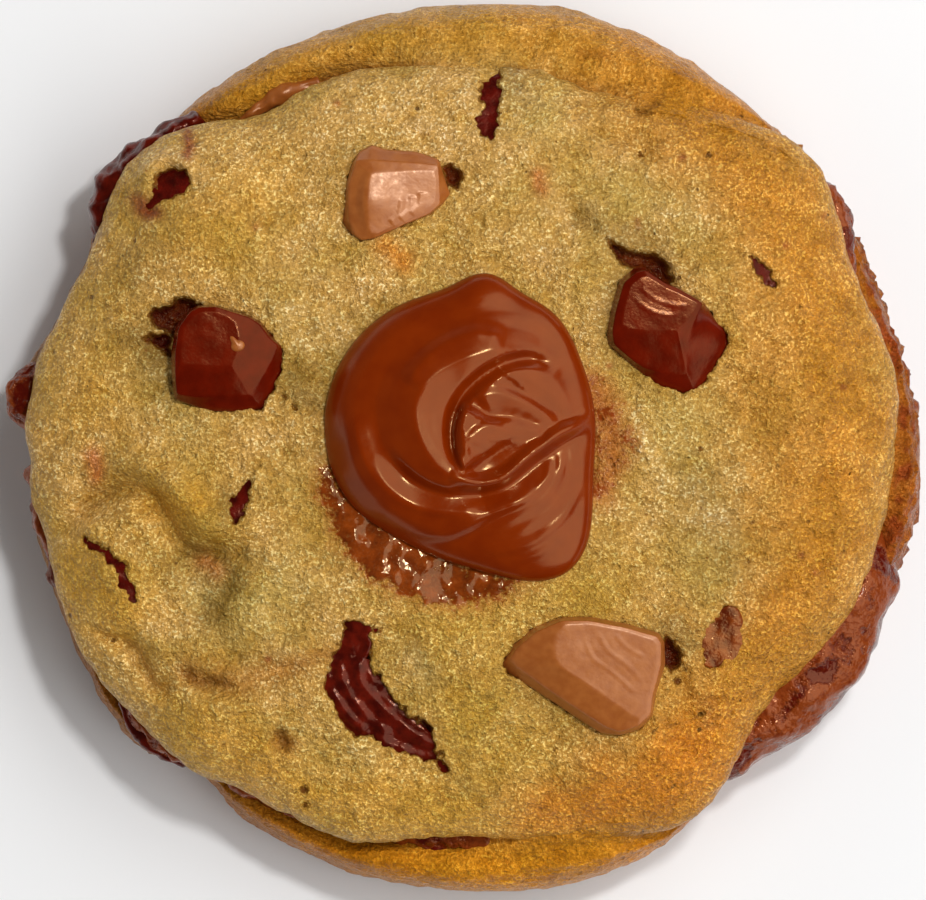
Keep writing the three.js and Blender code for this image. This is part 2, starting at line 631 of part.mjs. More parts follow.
// ---------------------------------------------------------------- chocolate in the top

function chunkRing(corners, place) {
  const points = corners.map(place);
  const turns = points.map((unused, i) => i / points.length);
  return { points, turns };
}

// The middle of the flat face.
function faceMiddle(corners) {
  const sum = (column) => corners.reduce((total, corner) => total + corner[column], 0);
  return [sum(4) / corners.length, sum(5) / corners.length];
}

// A chunk in its own frame, with its rim at height 0.
function chunkSolid({ corners, depth, rise }) {
  const shoulderHeight = ([, , sx, sy, fx, fy]) => Math.max(
    CHUNK_LOWEST_SHOULDER,
    rise - CHUNK_BEVEL_SLOPE * Math.hypot(sx - fx, sy - fy),
  );
  return ringSolid([
    pole(0, 0, -depth),
    chunkRing(corners, ([x, y]) => [CHUNK_FLOOR_SHARE * x, CHUNK_FLOOR_SHARE * y, -depth]),
    chunkRing(corners, ([x, y]) => [x, y, 0]),
    chunkRing(corners, (corner) => {
      const [rx, ry, sx, sy] = corner;
      return [
        mix(rx, sx, CHUNK_SIDE_SHARE),
        mix(ry, sy, CHUNK_SIDE_SHARE),
        CHUNK_SIDE_SHARE * shoulderHeight(corner),
      ];
    }),
    chunkRing(corners, (corner) => [corner[2], corner[3], shoulderHeight(corner)]),
    chunkRing(corners, (corner) => [corner[4], corner[5], rise]),
    pole(...faceMiddle(corners), rise),
  ]);
}

// The pit of a chunk: its rim, grown by a gap, from below its floor to above the dough.
function chunkPit({ corners, depth }) {
  const grown = (x, y, grow) => {
    const scale = 1 + grow / Math.hypot(x, y);
    return [x * scale, y * scale];
  };
  const floor = -depth - GAP;
  return ringSolid([
    pole(0, 0, floor),
    chunkRing(corners, ([x, y]) => [
      ...grown(PIT_FLOOR_SHARE * x, PIT_FLOOR_SHARE * y, GAP),
      floor,
    ]),
    chunkRing(corners, ([x, y]) => [...grown(x, y, PIT_RIM_GAP), 0]),
    chunkRing(corners, ([x, y]) => [...grown(x, y, PIT_MOUTH_GAP), CUT_ABOVE]),
    pole(0, 0, CUT_ABOVE),
  ]);
}

// Puts a chunk into the dough's surface, tilted with it.
function chunkPlacement({ x, y, sunk, tiltX, tiltY }) {
  const object = new THREE.Object3D();
  object.position.set(x, y, doughTop(x, y) - sunk);
  object.rotation.set(tiltX * DEGREE, tiltY * DEGREE, 0);
  object.updateMatrix();
  return object;
}

// A half sunk strip: its top lies just under the dough's surface and its underside is round.
function sunkStrip(piece, grow, lift) {
  const rows = smoothRows(piece.path, STRIP_STEPS);
  const last = rows.length - 1;
  const directionAt = (k) => {
    const [ax, ay] = rows[Math.max(0, k - 1)];
    const [bx, by] = rows[Math.min(last, k + 1)];
    const length = Math.hypot(bx - ax, by - ay);
    return [(bx - ax) / length, (by - ay) / length];
  };
  const rings = rows.map(([x, y, halfWidth], k) => {
    const [dx, dy] = directionAt(k);
    return ring(STRIP_SIDES, (degrees) => {
      const turn = (degrees + 180 / STRIP_SIDES) * DEGREE;
      const across = (halfWidth + grow) * Math.cos(turn);
      const [px, py] = [x - across * dy, y + across * dx];
      const surface = doughTop(px, py) - piece.recess;
      const up = Math.sin(turn);
      const z = up > 0 ? surface + lift : surface - piece.depth - grow - 0.4 * up;
      return [px, py, z];
    });
  });
  const endPole = (k, sign) => {
    const [x, y, halfWidth] = rows[k];
    const [dx, dy] = directionAt(k);
    const reach = sign * (0.7 * halfWidth + grow);
    const [px, py] = [x + reach * dx, y + reach * dy];
    return pole(px, py, doughTop(px, py) - piece.recess - 0.5 * piece.depth);
  };
  return ringSolid([endPole(0, -1), ...rings, endPole(last, 1)]);
}

// ---------------------------------------------------------------- the dollop of spread

const swirlStrokes = prepareStrokes(SWIRL_STROKES);
const dollopFloor = doughTop(DOLLOP_CENTRE.x, DOLLOP_CENTRE.y) - DOLLOP_SINK;

function dollopPoint(share, degrees, height) {
  const radius = share * outlineRadius(DOLLOP_OUTLINE, degrees);
  const [x, y] = polar(degrees, radius, 0);
  return [DOLLOP_CENTRE.x + x, DOLLOP_CENTRE.y + y, height];
}

function dollopTop(x, y, share) {
  const body = Math.sqrt(1 - share ** 3.2);
  const fade = smoothStep(1, 0.8, share);
  return dollopFloor + DOLLOP_SINK + DOLLOP_HEIGHT * body * mix(0.82, 1, 1 - share)
    + fade * sumOfStrokes(swirlStrokes, x, y);
}

function dollop() {
  const size = DOLLOP_OUTLINE.base;
  const rimCount = ringCount(size, 1.3 * SPREAD_SPACING);
  const rings = [
    pole(DOLLOP_CENTRE.x, DOLLOP_CENTRE.y, dollopFloor),
    ring(rimCount, (degrees) => dollopPoint(0.93, degrees, dollopFloor)),
    ring(rimCount, (degrees) => dollopPoint(1, degrees, dollopFloor + DOLLOP_SINK)),
  ];
  const topRing = (share) => {
    const count = Math.min(rimCount, ringCount(share * size, SPREAD_SPACING));
    return ring(count, (degrees) => {
      const [x, y] = dollopPoint(share, degrees, 0);
      return [x, y, dollopTop(x, y, share)];
    });
  };
  for (const share of [0.985, 0.95]) rings.push(topRing(share));
  const steps = Math.round((0.95 * size) / SPREAD_SPACING);
  for (let k = steps - 1; k > 0; k -= 1) rings.push(topRing((0.95 * k) / steps));
  const { x, y } = DOLLOP_CENTRE;
  rings.push(pole(x, y, dollopTop(x, y, 0)));
  return ringSolid(rings);
}

// The shallow seat that the dollop has pressed into the dough.
function dollopSeat() {
  const count = 48;
  const grow = 1 + GAP / DOLLOP_OUTLINE.base;
  const seatRing = (share, z) => ring(count, (degrees) => dollopPoint(share * grow, degrees, z));
  const { x, y } = DOLLOP_CENTRE;
  return ringSolid([
    pole(x, y, dollopFloor - GAP),
    seatRing(0.95, dollopFloor - GAP),
    seatRing(1.01, dollopFloor + DOLLOP_SINK),
    seatRing(1.01, dollopFloor + CUT_ABOVE),
    pole(x, y, dollopFloor + CUT_ABOVE),
  ]);
}

// ---------------------------------------------------------------- the cookie

const cookie = new THREE.Group();

function addPiece(name, geometry, { colour, roughness = 0.35 }) {
  const material = new THREE.MeshStandardMaterial({ color: colour, roughness, metalness: 0 });
  const mesh = new THREE.Mesh(geometry, material);
  mesh.name = name;
  cookie.add(mesh);
  return mesh;
}

let upper = toManifold(upperDough());
let lower = toManifold(lowerDough());
let filling = toManifold(fillingLayer(0))
  .add(toManifold(seamBulge(LEAK.path, LEAK_SIDES, 2, 0)));
const fillingRoom = toManifold(fillingLayer(GAP))
  .add(toManifold(seamBulge(LEAK.path, LEAK_SIDES, 2, GAP)));
upper = upper.subtract(fillingRoom).subtract(toManifold(dollopSeat()));
lower = lower.subtract(fillingRoom);

for (const [name, chunk] of Object.entries(CHUNKS)) {
  const mesh = addPiece(name, chunkSolid(chunk), chunk);
  const placement = chunkPlacement(chunk.place);
  mesh.position.copy(placement.position);
  mesh.rotation.copy(placement.rotation);
  upper = upper.subtract(toManifold(chunkPit(chunk).applyMatrix4(placement.matrix)));
}

for (const [name, piece] of Object.entries(MELTED_PIECES)) {
  addPiece(name, sunkStrip(piece, 0, 0), piece);
  upper = upper.subtract(toManifold(sunkStrip(piece, GAP, 4)));
}

for (const [name, piece] of Object.entries(SEAM_PIECES)) {
  addPiece(name, seamBulge(piece.path, STRIP_SIDES, STRIP_STEPS, 0), piece);
  const room = toManifold(seamBulge(piece.path, STRIP_SIDES, STRIP_STEPS, GAP));
  upper = upper.subtract(room);
  lower = lower.subtract(room);
  filling = filling.subtract(room);
}

addPiece('lower_dough', toGeometry(lower), { colour: 0xb8823a, roughness: 0.8 });
addPiece('upper_dough', toGeometry(upper), { colour: 0xbd9552, roughness: 0.8 });
addPiece('filling', toGeometry(filling), LEAK);
addPiece('spread_dollop', dollop(), { colour: 0x7f3a12, roughness: 0.25 });

export default cookie;
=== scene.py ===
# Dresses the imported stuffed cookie: fine baked dough, melted filling, bar chocolate and spread.
#
# The cookie's forms are worked out from the same named sizes as its solids, with a much finer
# mesh and the small relief that the solids leave out. Sizes are in millimetres and angles in
# degrees, in the row frame: +X right and +Y up in the plan of the top, +Z up. Colours are sRGB.

import bpy
import numpy as np
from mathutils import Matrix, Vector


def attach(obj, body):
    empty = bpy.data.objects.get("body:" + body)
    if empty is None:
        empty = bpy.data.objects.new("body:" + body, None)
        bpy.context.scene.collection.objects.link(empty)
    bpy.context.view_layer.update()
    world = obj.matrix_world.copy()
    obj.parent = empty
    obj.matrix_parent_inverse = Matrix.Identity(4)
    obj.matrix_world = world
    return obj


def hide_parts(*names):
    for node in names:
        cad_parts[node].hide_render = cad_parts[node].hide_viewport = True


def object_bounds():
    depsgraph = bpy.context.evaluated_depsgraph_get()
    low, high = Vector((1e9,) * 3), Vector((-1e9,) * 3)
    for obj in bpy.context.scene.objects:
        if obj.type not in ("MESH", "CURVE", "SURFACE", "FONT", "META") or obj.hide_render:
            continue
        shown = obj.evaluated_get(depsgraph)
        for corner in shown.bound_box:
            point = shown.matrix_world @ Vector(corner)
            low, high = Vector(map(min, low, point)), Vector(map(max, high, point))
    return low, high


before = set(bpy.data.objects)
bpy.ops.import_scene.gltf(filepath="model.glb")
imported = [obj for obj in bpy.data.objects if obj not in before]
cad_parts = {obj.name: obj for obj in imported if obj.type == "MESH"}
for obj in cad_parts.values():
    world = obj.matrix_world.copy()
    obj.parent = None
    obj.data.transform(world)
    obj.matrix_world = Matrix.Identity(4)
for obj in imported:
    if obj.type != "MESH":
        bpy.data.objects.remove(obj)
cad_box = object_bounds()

MM = 0.001
UP = np.array([0.0, 0.0, 1.0])

# ------------------------------------------------------------------ sizes shared with the solids

GAP = 0.35
SEAM_HEIGHT = 11.3
LOWER_WIDEST_HEIGHT = 5.8
FLOOR_INSET = 6.0
LIP_RISE = 2.6
LIP_FULL_WIDTH = 5.0
LIP_FIRST_WIDTH = 1.5
UPPER_WIDEST_HEIGHT = 16
UPPER_UNDERCUT = 2.2
CROWN_HEIGHT = 24.8
CROWN_POWER = 2.7
FILLING_THICKNESS = 3.0
FILLING_RIM = 1.4
DOLLOP_SINK = 1.1
DOLLOP_HEIGHT = 6.6

# Outlines seen from above: a base radius, then smooth bumps as angle, spread and push.
LOWER_OUTLINE = (52.6, [
    (-5, 14, 2.7), (42, 12, 1.2), (74, 14, 1.8), (115, 16, 0.4), (157, 8, -1.8), (170, 4, 1.4),
    (-165, 16, -0.6), (-140, 5, 0.9), (-129, 5, -2.0), (-117, 10, -0.8), (-75, 16, 1.2),
    (-49, 5, -1.0), (-38, 12, -3.0),
])
UPPER_OUTLINE = (51, [
    (9, 8, 1.5), (41, 8, 3.9), (68, 5, -1.2), (84, 20, -5.0), (110, 9, -1.2), (121, 5, -2.6),
    (139, 6, 1.8), (156, 6, -0.9), (177, 11, 1.4), (-167, 3, -0.8), (-150, 10, 0.9),
    (-131, 3, 0.8), (-106, 6, 1.8), (-95, 24, -4.6), (-58, 8, 2.9), (-39, 10, -3.2),
])
FILLING_OUTLINE = (48.6, [
    (34, 8, 7.2), (88, 30, -5.0), (178, 22, 3.2), (-138, 7, 2.6), (-93, 9, -0.8), (-60, 10, -4.5),
])
DOLLOP_CENTRE = (-0.4, 2.8)
DOLLOP_OUTLINE = (16.2, [(52, 14, 1.4), (80, 9, 2.2), (-118, 16, -0.9), (-53, 17, 5.4)])

# Lumps and hollows of the dough's top: x, y, reach and height.
DOUGH_LUMPS = [
    (-43, -15, 7, 1.5), (-31, -17.5, 5.5, -1.6), (-33, -34, 9, 0.9), (-27, -3, 8, 0.7),
    (-30, 28, 9, 0.6), (3, -26, 6, 0.9), (-2, -38, 6, -0.7), (20, -40, 8, 0.8),
    (14, 37, 9, 0.7), (36, 6, 12, 0.8), (22, 25, 4, -0.9), (-6, 41, 7, -0.7),
]

# Creases and raised lips of the dough's top: path, width and lift.
DOUGH_STROKES = [
    ([(-50, -10.5), (-43.5, -5.8), (-39, -4.6), (-35.5, -8.5), (-32.5, -12.2), (-27, -12)],
     1.9, -1.9),
    ([(-40, -2), (-34, -4.5), (-31, -8.5), (-26, -9.5)], 2.6, 1.0),
    ([(-45.5, -21), (-40, -23.6), (-37, -27.8), (-34.5, -29)], 1.6, -1.3),
    ([(14, 39), (20, 37.2), (22.5, 35)], 1.8, -0.8),
    ([(-31, -21), (-26, -26), (-22, -24)], 1.8, -0.7),
]

# Slow waves of the dough's top: height, turns by x and by y, and shift.
WAVES = [
    (0.16, 0.31, 0.17, 0.6), (0.14, -0.36, 0.23, 2.1), (0.10, 0.52, 0.41, 4.0),
    (0.08, -0.44, 0.61, 1.2),
]

# Chunks of bar chocolate: place, depth, rise and, for each corner, the points on its rim, its
# shoulder and its flat face.
CHUNKS = {
    "milk_chunk_1": dict(
        x=-8, y=31, sunk=0.2, tilt_x=3, tilt_y=-3, depth=3.4, rise=2.3,
        corners=[
            (6.7, -0.4, 5.3, -0.5, 4.8, -0.4), (5.8, 1.8, 5.2, 1.4, 4.8, 1.3),
            (5.2, 3.8, 5.1, 3.1, 4.6, 2.4), (2.4, 4.8, 2.0, 3.4, 1.6, 2.4),
            (-1.1, 5.0, -1.2, 3.6, -1.0, 2.3), (-2.9, 5.6, -3.1, 3.7, -2.4, 2.2),
            (-4.4, 4.8, -4.7, 3.6, -2.9, 2.0), (-5.4, 3.1, -5.0, 2.6, -3.1, 1.2),
            (-6.0, 0.9, -5.6, 0.7, -3.2, 0.3), (-6.4, -1.8, -5.6, -1.7, -3.3, -1.3),
            (-6.7, -3.9, -5.5, -3.6, -3.2, -2.8), (-5.5, -5.6, -4.9, -5.1, -3.1, -4.2),
            (-4.3, -6.2, -4.0, -5.8, -2.8, -4.9), (-2.7, -5.9, -2.5, -5.6, -2.1, -5.0),
            (-0.8, -5.1, -0.7, -4.8, -0.5, -4.2), (1.2, -4.1, 1.2, -3.9, 1.2, -3.5),
            (4.1, -3.0, 4.0, -2.8, 3.6, -2.4), (5.6, -1.7, 5.3, -1.6, 4.7, -1.4),
        ]),
    "dark_chunk_1": dict(
        x=-28.2, y=10.6, sunk=0.2, tilt_x=-2, tilt_y=2, depth=3.6, rise=3.0,
        corners=[
            (7.1, 0.2, 5.4, 0.2, 1.2, 0.9), (6.7, 2.0, 6.1, 1.8, 1.4, 2.0),
            (5.6, 3.0, 5.1, 2.7, 1.5, 2.8), (4.3, 4.7, 3.9, 4.3, 1.2, 3.9),
            (2.7, 5.6, 2.5, 5.2, 0.9, 4.7), (0.3, 6.3, 0.2, 5.9, 0.0, 5.3),
            (-1.4, 6.8, -1.4, 6.4, -1.4, 5.8), (-3.6, 6.7, -3.4, 6.3, -3.2, 5.7),
            (-4.8, 6.1, -4.4, 5.8, -4.1, 5.3), (-6.2, 4.1, -5.8, 3.9, -5.3, 3.7),
            (-6.7, 1.2, -6.2, 1.1, -5.6, 1.1), (-6.7, -2.0, -6.2, -2.2, -5.6, -0.3),
            (-6.3, -4.7, -6.0, -4.0, -5.2, -0.6), (-3.6, -5.7, -3.6, -4.3, -3.2, -0.7),
            (-1.8, -6.2, -1.4, -4.2, -1.4, -0.8), (2.4, -6.3, 1.6, -4.1, -0.2, -0.8),
            (4.4, -5.9, 2.7, -4.0, 0.5, -0.7), (5.5, -4.2, 3.3, -3.2, 0.8, -0.4),
            (6.6, -1.9, 4.4, -1.4, 1.0, 0.2),
        ]),
    "dark_chunk_2": dict(
        x=24.5, y=14, sunk=0.2, tilt_x=-2, tilt_y=4, depth=3.6, rise=3.2,
        corners=[
            (7.3, 0.4, 2.4, 0.1, 1.7, 1.0), (5.8, 1.7, 3.4, 2.4, 2.9, 2.5),
            (4.3, 3.8, 3.9, 3.4, 3.3, 3.4), (1.0, 5.6, 0.9, 5.2, 0.8, 4.7),
            (-0.4, 6.1, -0.5, 5.7, -0.5, 5.2), (-2.9, 7.9, -2.9, 7.3, -2.7, 6.6),
            (-4.2, 7.8, -4.0, 7.1, -3.6, 6.4), (-6.0, 6.3, -5.5, 5.9, -4.8, 5.4),
            (-7.0, 2.7, -6.5, 2.6, -5.6, 2.5), (-7.5, -0.1, -6.9, -0.2, -5.8, 0.8),
            (-7.4, -1.5, -6.6, -1.6, -5.2, 0.3), (-4.8, -3.8, -4.1, -3.6, -3.4, 0.1),
            (-3.5, -4.9, -2.9, -4.3, -2.4, 0.0), (-0.9, -6.9, -0.6, -4.8, -0.6, 0.0),
            (1.9, -7.5, 1.6, -5.0, 0.6, 0.0), (3.4, -7.5, 2.0, -4.6, 0.9, -0.1),
            (5.0, -5.6, 2.0, -3.4, 1.0, 0.1), (7.5, -1.6, 1.8, -1.8, 1.2, 0.5),
        ]),
    "milk_chunk_2": dict(
        x=15.5, y=-26.5, sunk=0.3, tilt_x=2, tilt_y=-2, depth=3.4, rise=3.5,
        corners=[
            (8.8, 1.0, 8.2, 1.0, 7.7, 0.8), (8.6, 3.6, 8.2, 3.5, 7.7, 3.4),
            (7.9, 4.8, 7.7, 4.4, 7.2, 4.0), (3.9, 5.9, 3.8, 5.5, 3.6, 5.1),
            (-0.3, 6.7, -0.3, 6.3, -0.3, 5.9), (-3.7, 6.7, -3.6, 6.3, -3.2, 5.8),
            (-7.0, 5.5, -6.6, 5.0, -4.2, 4.6), (-9.8, 3.4, -9.0, 2.9, -4.7, 3.0),
            (-11.4, 0.8, -9.7, 1.7, -4.5, 1.8), (-10.6, -0.1, -8.8, 0.7, -3.8, 0.8),
            (-6.8, -2.5, -6.0, -1.4, -2.0, -0.4), (-2.3, -5.4, -1.5, -4.4, 0.6, -2.1),
            (0.8, -7.4, 1.6, -6.4, 2.9, -3.8), (3.2, -7.7, 3.2, -7.0, 4.6, -5.0),
            (5.7, -6.9, 5.5, -6.3, 5.7, -5.4), (7.2, -5.3, 6.9, -5.0, 6.5, -4.6),
            (7.6, -2.6, 7.3, -2.4, 6.9, -2.2),
        ]),
}
CHUNK_BEVEL_SLOPE = 0.32
CHUNK_LOWEST_SHOULDER = 1.1
CHUNK_FLOOR_SHARE = 0.88
CHUNK_SIDE_SHARE = 0.85

# Half sunk strips of chocolate: depth, recess and a path of x, y and half width.
MELTED_PIECES = {
    "melted_chunk": (2.4, 0.5, [
        (-11.6, -21.6, 1.2), (-14.0, -24.0, 1.9), (-13.8, -27.5, 2.6), (-12.2, -30.6, 3.2),
        (-9.6, -33.2, 2.7), (-6.4, -35.6, 2.2), (-3.6, -37.2, 1.5), (-2.2, -38.4, 0.7)]),
    "melted_strip": (1.8, 0.3, [
        (3.5, 45.4, 0.9), (3.2, 43.2, 1.4), (3.4, 41.0, 1.2), (2.9, 38.8, 1.5),
        (3.3, 37.6, 0.8)]),
    "melted_streak": (1.5, 0.2, [
        (-45.4, -10.8, 0.5), (-43.2, -12.0, 0.8), (-41.2, -13.8, 0.8), (-40.0, -16.2, 0.7),
        (-39.2, -18.2, 0.5)]),
    "melted_shard": (1.8, 0.3, [
        (-25.6, -3.9, 0.5), (-26.4, -5.6, 1.0), (-27.0, -7.4, 1.2), (-27.2, -8.4, 0.6)]),
    "buried_milk_chunk": (1.8, 0.1, [
        (32.0, -19.6, 0.9), (31.4, -21.4, 1.9), (30.6, -23.4, 2.1), (29.8, -25.2, 1.2)]),
    "small_dark_bit": (1.4, 0.2, [
        (34.6, 23.0, 0.5), (35.4, 21.8, 0.9), (36.3, 20.4, 0.8), (37.2, 19.4, 0.4)]),
    "torn_spot_chunk": (1.8, 0.3, [
        (-37.4, 29.4, 0.6), (-35.6, 30.9, 1.2), (-34.0, 32.0, 1.1), (-33.0, 33.2, 0.6)]),
}

# Chocolate pressed out along the seam: angle, radius, height, half width and half height.
SEAM_PIECES = {
    "edge_chunk_left": [
        (169.0, 51.9, 12.0, 1.5, 1.6), (171.0, 52.6, 12.0, 2.2, 2.5), (173.2, 53.0, 12.0, 2.5, 2.9),
        (175.4, 52.5, 12.0, 2.1, 2.4), (177.2, 51.7, 12.0, 1.2, 1.4)],
    "edge_chunk_upper_left": [
        (128.6, 50.6, 12.6, 1.0, 1.3), (131.5, 51.2, 12.6, 1.7, 2.3), (135.0, 51.6, 12.6, 1.9, 2.7),
        (139.0, 52.1, 12.6, 2.3, 2.9), (143.0, 52.0, 12.6, 2.4, 2.8), (147.0, 51.4, 12.6, 1.9, 2.2),
        (150.4, 50.6, 12.6, 0.9, 1.2)],
    "crease_sliver": [
        (111.5, 47.4, 12.8, 0.5, 0.6), (115.5, 47.8, 13.0, 0.9, 1.1), (120.0, 47.8, 13.0, 0.9, 1.1),
        (124.5, 47.7, 12.8, 0.5, 0.6)],
    "melted_pool_bottom": [
        (-98.5, 46.9, 12.2, 0.6, 0.6), (-95.0, 47.2, 12.3, 1.2, 1.0), (-90.5, 47.0, 12.3, 1.1, 1.0),
        (-86.0, 46.8, 12.2, 0.6, 0.6)],
    "melted_pool_lower_left": [
        (-143.5, 50.9, 12.4, 0.6, 0.7), (-139.5, 51.3, 12.2, 1.3, 1.1),
        (-135.5, 50.8, 12.0, 1.3, 1.1), (-131.5, 50.0, 12.0, 0.6, 0.7)],
}
LEAK = [
    (-11.5, 48.8, 11.6, 3.0, 2.2), (-16.0, 49.0, 11.2, 5.5, 4.2), (-22.0, 48.5, 10.8, 6.4, 5.2),
    (-29.0, 48.3, 10.6, 6.9, 5.6), (-35.0, 48.0, 10.6, 6.7, 5.4), (-40.5, 47.2, 10.8, 5.6, 5.0),
    (-46.0, 46.6, 11.0, 5.2, 4.4), (-51.0, 46.6, 11.4, 4.6, 3.2), (-54.5, 46.8, 11.8, 2.6, 1.6),
]

# ------------------------------------------------------------------ small helpers


def mix(a, b, share):
    return a + (b - a) * share


def smooth_step(start, end, value):
    share = np.clip((value - start) / (end - start), 0, 1)
    return share * share * (3 - 2 * share)


def srgb(red, green, blue):
    """Linear colour of an sRGB one from 0 to 255."""
    values = np.array([red, green, blue]) / 255
    return np.where(values <= 0.04045, values / 12.92, ((values + 0.055) / 1.055) ** 2.4)


def polar(degrees, radius, z):
    turn = np.radians(degrees)
    return np.stack(np.broadcast_arrays(radius * np.cos(turn), radius * np.sin(turn), z), axis=-1)


def outline_radius(outline, degrees):
    base, bumps = outline
    radius = np.full(np.shape(degrees), float(base))
    for at, spread, push in bumps:
        off = ((degrees - at + 180) % 360 - 180) / spread
        radius += push * np.exp(-0.5 * off * off)
    return radius


def share_of(outline, dx, dy):
    """How far out places lie from the middle, as a share of an outline's radius there."""
    return np.hypot(dx, dy) / outline_radius(outline, np.degrees(np.arctan2(dy, dx)))


def outward(points):
    """Level directions away from the cookie's middle."""
    level = points * (1, 1, 0)
    return level / np.maximum(1e-6, np.linalg.norm(level, axis=1, keepdims=True))


def smooth_rows(rows, steps):
    """A smooth curve through rows of numbers, with that many steps from row to row."""
    rows = np.array(rows, float)
    padded = np.vstack([rows[:1], rows, rows[-1:]])
    curve = []
    for a, b, c, d in zip(padded, padded[1:], padded[2:], padded[3:]):
        for t in np.arange(steps) / steps:
            curve.append(
                b + 0.5 * t * (c - a + t * (2 * a - 5 * b + 4 * c - d + t * (3 * (b - c) + d - a)))
            )
    return np.array(curve + [rows[-1]])


def nearest_on_path(points, x, y):
    """Distance to a path, share of the way along it, and side: +1 left of it, -1 right."""
    nearest = np.full(len(x), np.inf)
    along = np.zeros(len(x))
    side = np.ones(len(x))
    last = len(points) - 1
    for i in range(last):
        ax, ay = points[i][:2]
        dx, dy = points[i + 1][:2] - points[i][:2]
        share = np.clip(((x - ax) * dx + (y - ay) * dy) / (dx * dx + dy * dy), 0, 1)
        off_x = x - ax - share * dx
        off_y = y - ay - share * dy
        distance = np.hypot(off_x, off_y)
        closer = distance < nearest
        nearest[closer] = distance[closer]
        along[closer] = (i + share[closer]) / last
        side[closer] = np.sign(dx * off_y - dy * off_x)[closer]
    return nearest, along, side


def close_to(points, x, y, reach):
    """Which places lie within reach of the box round a path."""
    low = points[:, :2].min(axis=0) - reach
    high = points[:, :2].max(axis=0) + reach
    return (x > low[0]) & (x < high[0]) & (y > low[1]) & (y < high[1])


def lumps_at(lumps, x, y):
    total = np.zeros(len(x))
    for at_x, at_y, reach, height in lumps:
        total += height * np.exp(-((x - at_x) ** 2 + (y - at_y) ** 2) / reach**2)
    return total


def strokes_at(strokes, x, y):
    """Height that strokes add: full on the path, fading with distance and to its ends."""
    total = np.zeros(len(x))
    for path, width, lift in strokes:
        points = smooth_rows(path, 6)
        near = close_to(points, x, y, 3 * width)
        distance, along, _ = nearest_on_path(points, x[near], y[near])
        taper = smooth_step(0, 0.2, along) * smooth_step(1, 0.8, along)
        total[near] += lift * mix(0.35, 1, taper) * np.exp(-((distance / width) ** 2))
    return total


def folds_at(folds, x, y):
    """Height of folds in a soft surface: a narrow crest with an even slope down each side.

    A fold is a path, the widths of its slopes on its left and right, and its lift.
    """
    total = np.zeros(len(x))
    for path, left, right, lift in folds:
        points = smooth_rows(path, 8)
        near = close_to(points, x, y, 1.6 * max(left, right))
        distance, along, side = nearest_on_path(points, x[near], y[near])
        width = np.where(side > 0, left, right)
        taper = smooth_step(0, 0.15, along) * smooth_step(1, 0.85, along)
        crest = np.minimum(0.2, 0.3 * width)
        slope = 1 - (np.sqrt(distance**2 + crest**2) - crest) / width
        total[near] += lift * taper * 0.5 * (slope + np.sqrt(slope**2 + 0.01))
    return total


def inside_outline(outline, x, y):
    """Signed distance to a closed outline, negative inside, for places near it."""
    outline = np.array(outline, float)
    signed = np.full(len(x), 99.0)
    near = close_to(outline, x, y, 4)
    px, py = x[near], y[near]
    nearest = np.full(len(px), np.inf)
    crossings = np.zeros(len(px), bool)
    for (ax, ay), (bx, by) in zip(outline, np.roll(outline, -1, axis=0)):
        dx, dy = bx - ax, by - ay
        share = np.clip(((px - ax) * dx + (py - ay) * dy) / (dx * dx + dy * dy), 0, 1)
        nearest = np.minimum(nearest, np.hypot(px - ax - share * dx, py - ay - share * dy))
        if dy:
            crossings ^= ((ay > py) != (by > py)) & (px < ax + (py - ay) * dx / dy)
    signed[near] = np.where(crossings, -nearest, nearest)
    return signed


class Noise:
    """Smooth random bumps in space, from about -1 to 1."""

    LATTICE = 32

    def __init__(self, seed):
        slopes = np.random.default_rng(seed).normal(size=(self.LATTICE,) * 3 + (3,))
        self.slopes = slopes / np.linalg.norm(slopes, axis=-1, keepdims=True)

    def __call__(self, points, size):
        places = points / size
        cell = np.floor(places).astype(int)
        inside = places - cell
        fade = inside**3 * (inside * (6 * inside - 15) + 10)
        total = np.zeros(len(points))
        for corner in np.ndindex(2, 2, 2):
            slope = self.slopes[tuple(((cell + corner) % self.LATTICE).T)]
            weight = np.prod(np.where(corner, fade, 1 - fade), axis=1)
            total += weight * np.einsum("ij,ij->i", slope, inside - np.array(corner))
        return 1.8 * total

    def layered(self, points, size, layers, keep=0.5):
        """Finer and finer bumps on top of each other, each layer keep times as high."""
        total = np.zeros(len(points))
        for k in range(layers):
            total += keep**k * self(points + 17.3 * k, size / 2**k)
        return total


lumpy = Noise(11)
ragged = Noise(23)
blotchy = Noise(37)


def flat_points(x, y, z=0.0):
    return np.stack(np.broadcast_arrays(x, y, z), axis=-1)


# ------------------------------------------------------------------ meshes


def stitch(low, high):
    """Triangles between two rings of vertex numbers with evenly spaced turns."""
    low_steps = len(low) if len(low) > 1 else 0
    high_steps = len(high) if len(high) > 1 else 0
    turns = np.r_[(np.arange(low_steps) + 1) / max(1, low_steps),
                  (np.arange(high_steps) + 1) / max(1, high_steps)]
    is_high = np.r_[np.zeros(low_steps, bool), np.ones(high_steps, bool)][
        np.lexsort((np.r_[np.zeros(low_steps), np.ones(high_steps)], turns))]
    j = np.cumsum(is_high) - is_high
    i = np.cumsum(~is_high) - ~is_high
    third = np.where(is_high, high[(j + 1) % len(high)], low[(i + 1) % len(low)])
    return np.column_stack([low[i % len(low)], third, high[j % len(high)]])


def ring_mesh(rings):
    """A closed mesh through a stack of rings, the first and the last being single points."""
    starts = np.cumsum([0] + [len(ring) for ring in rings])
    numbers = [np.arange(a, b) for a, b in zip(starts, starts[1:])]
    faces = [stitch(low, high) for low, high in zip(numbers, numbers[1:])]
    return np.vstack(rings), np.vstack(faces)


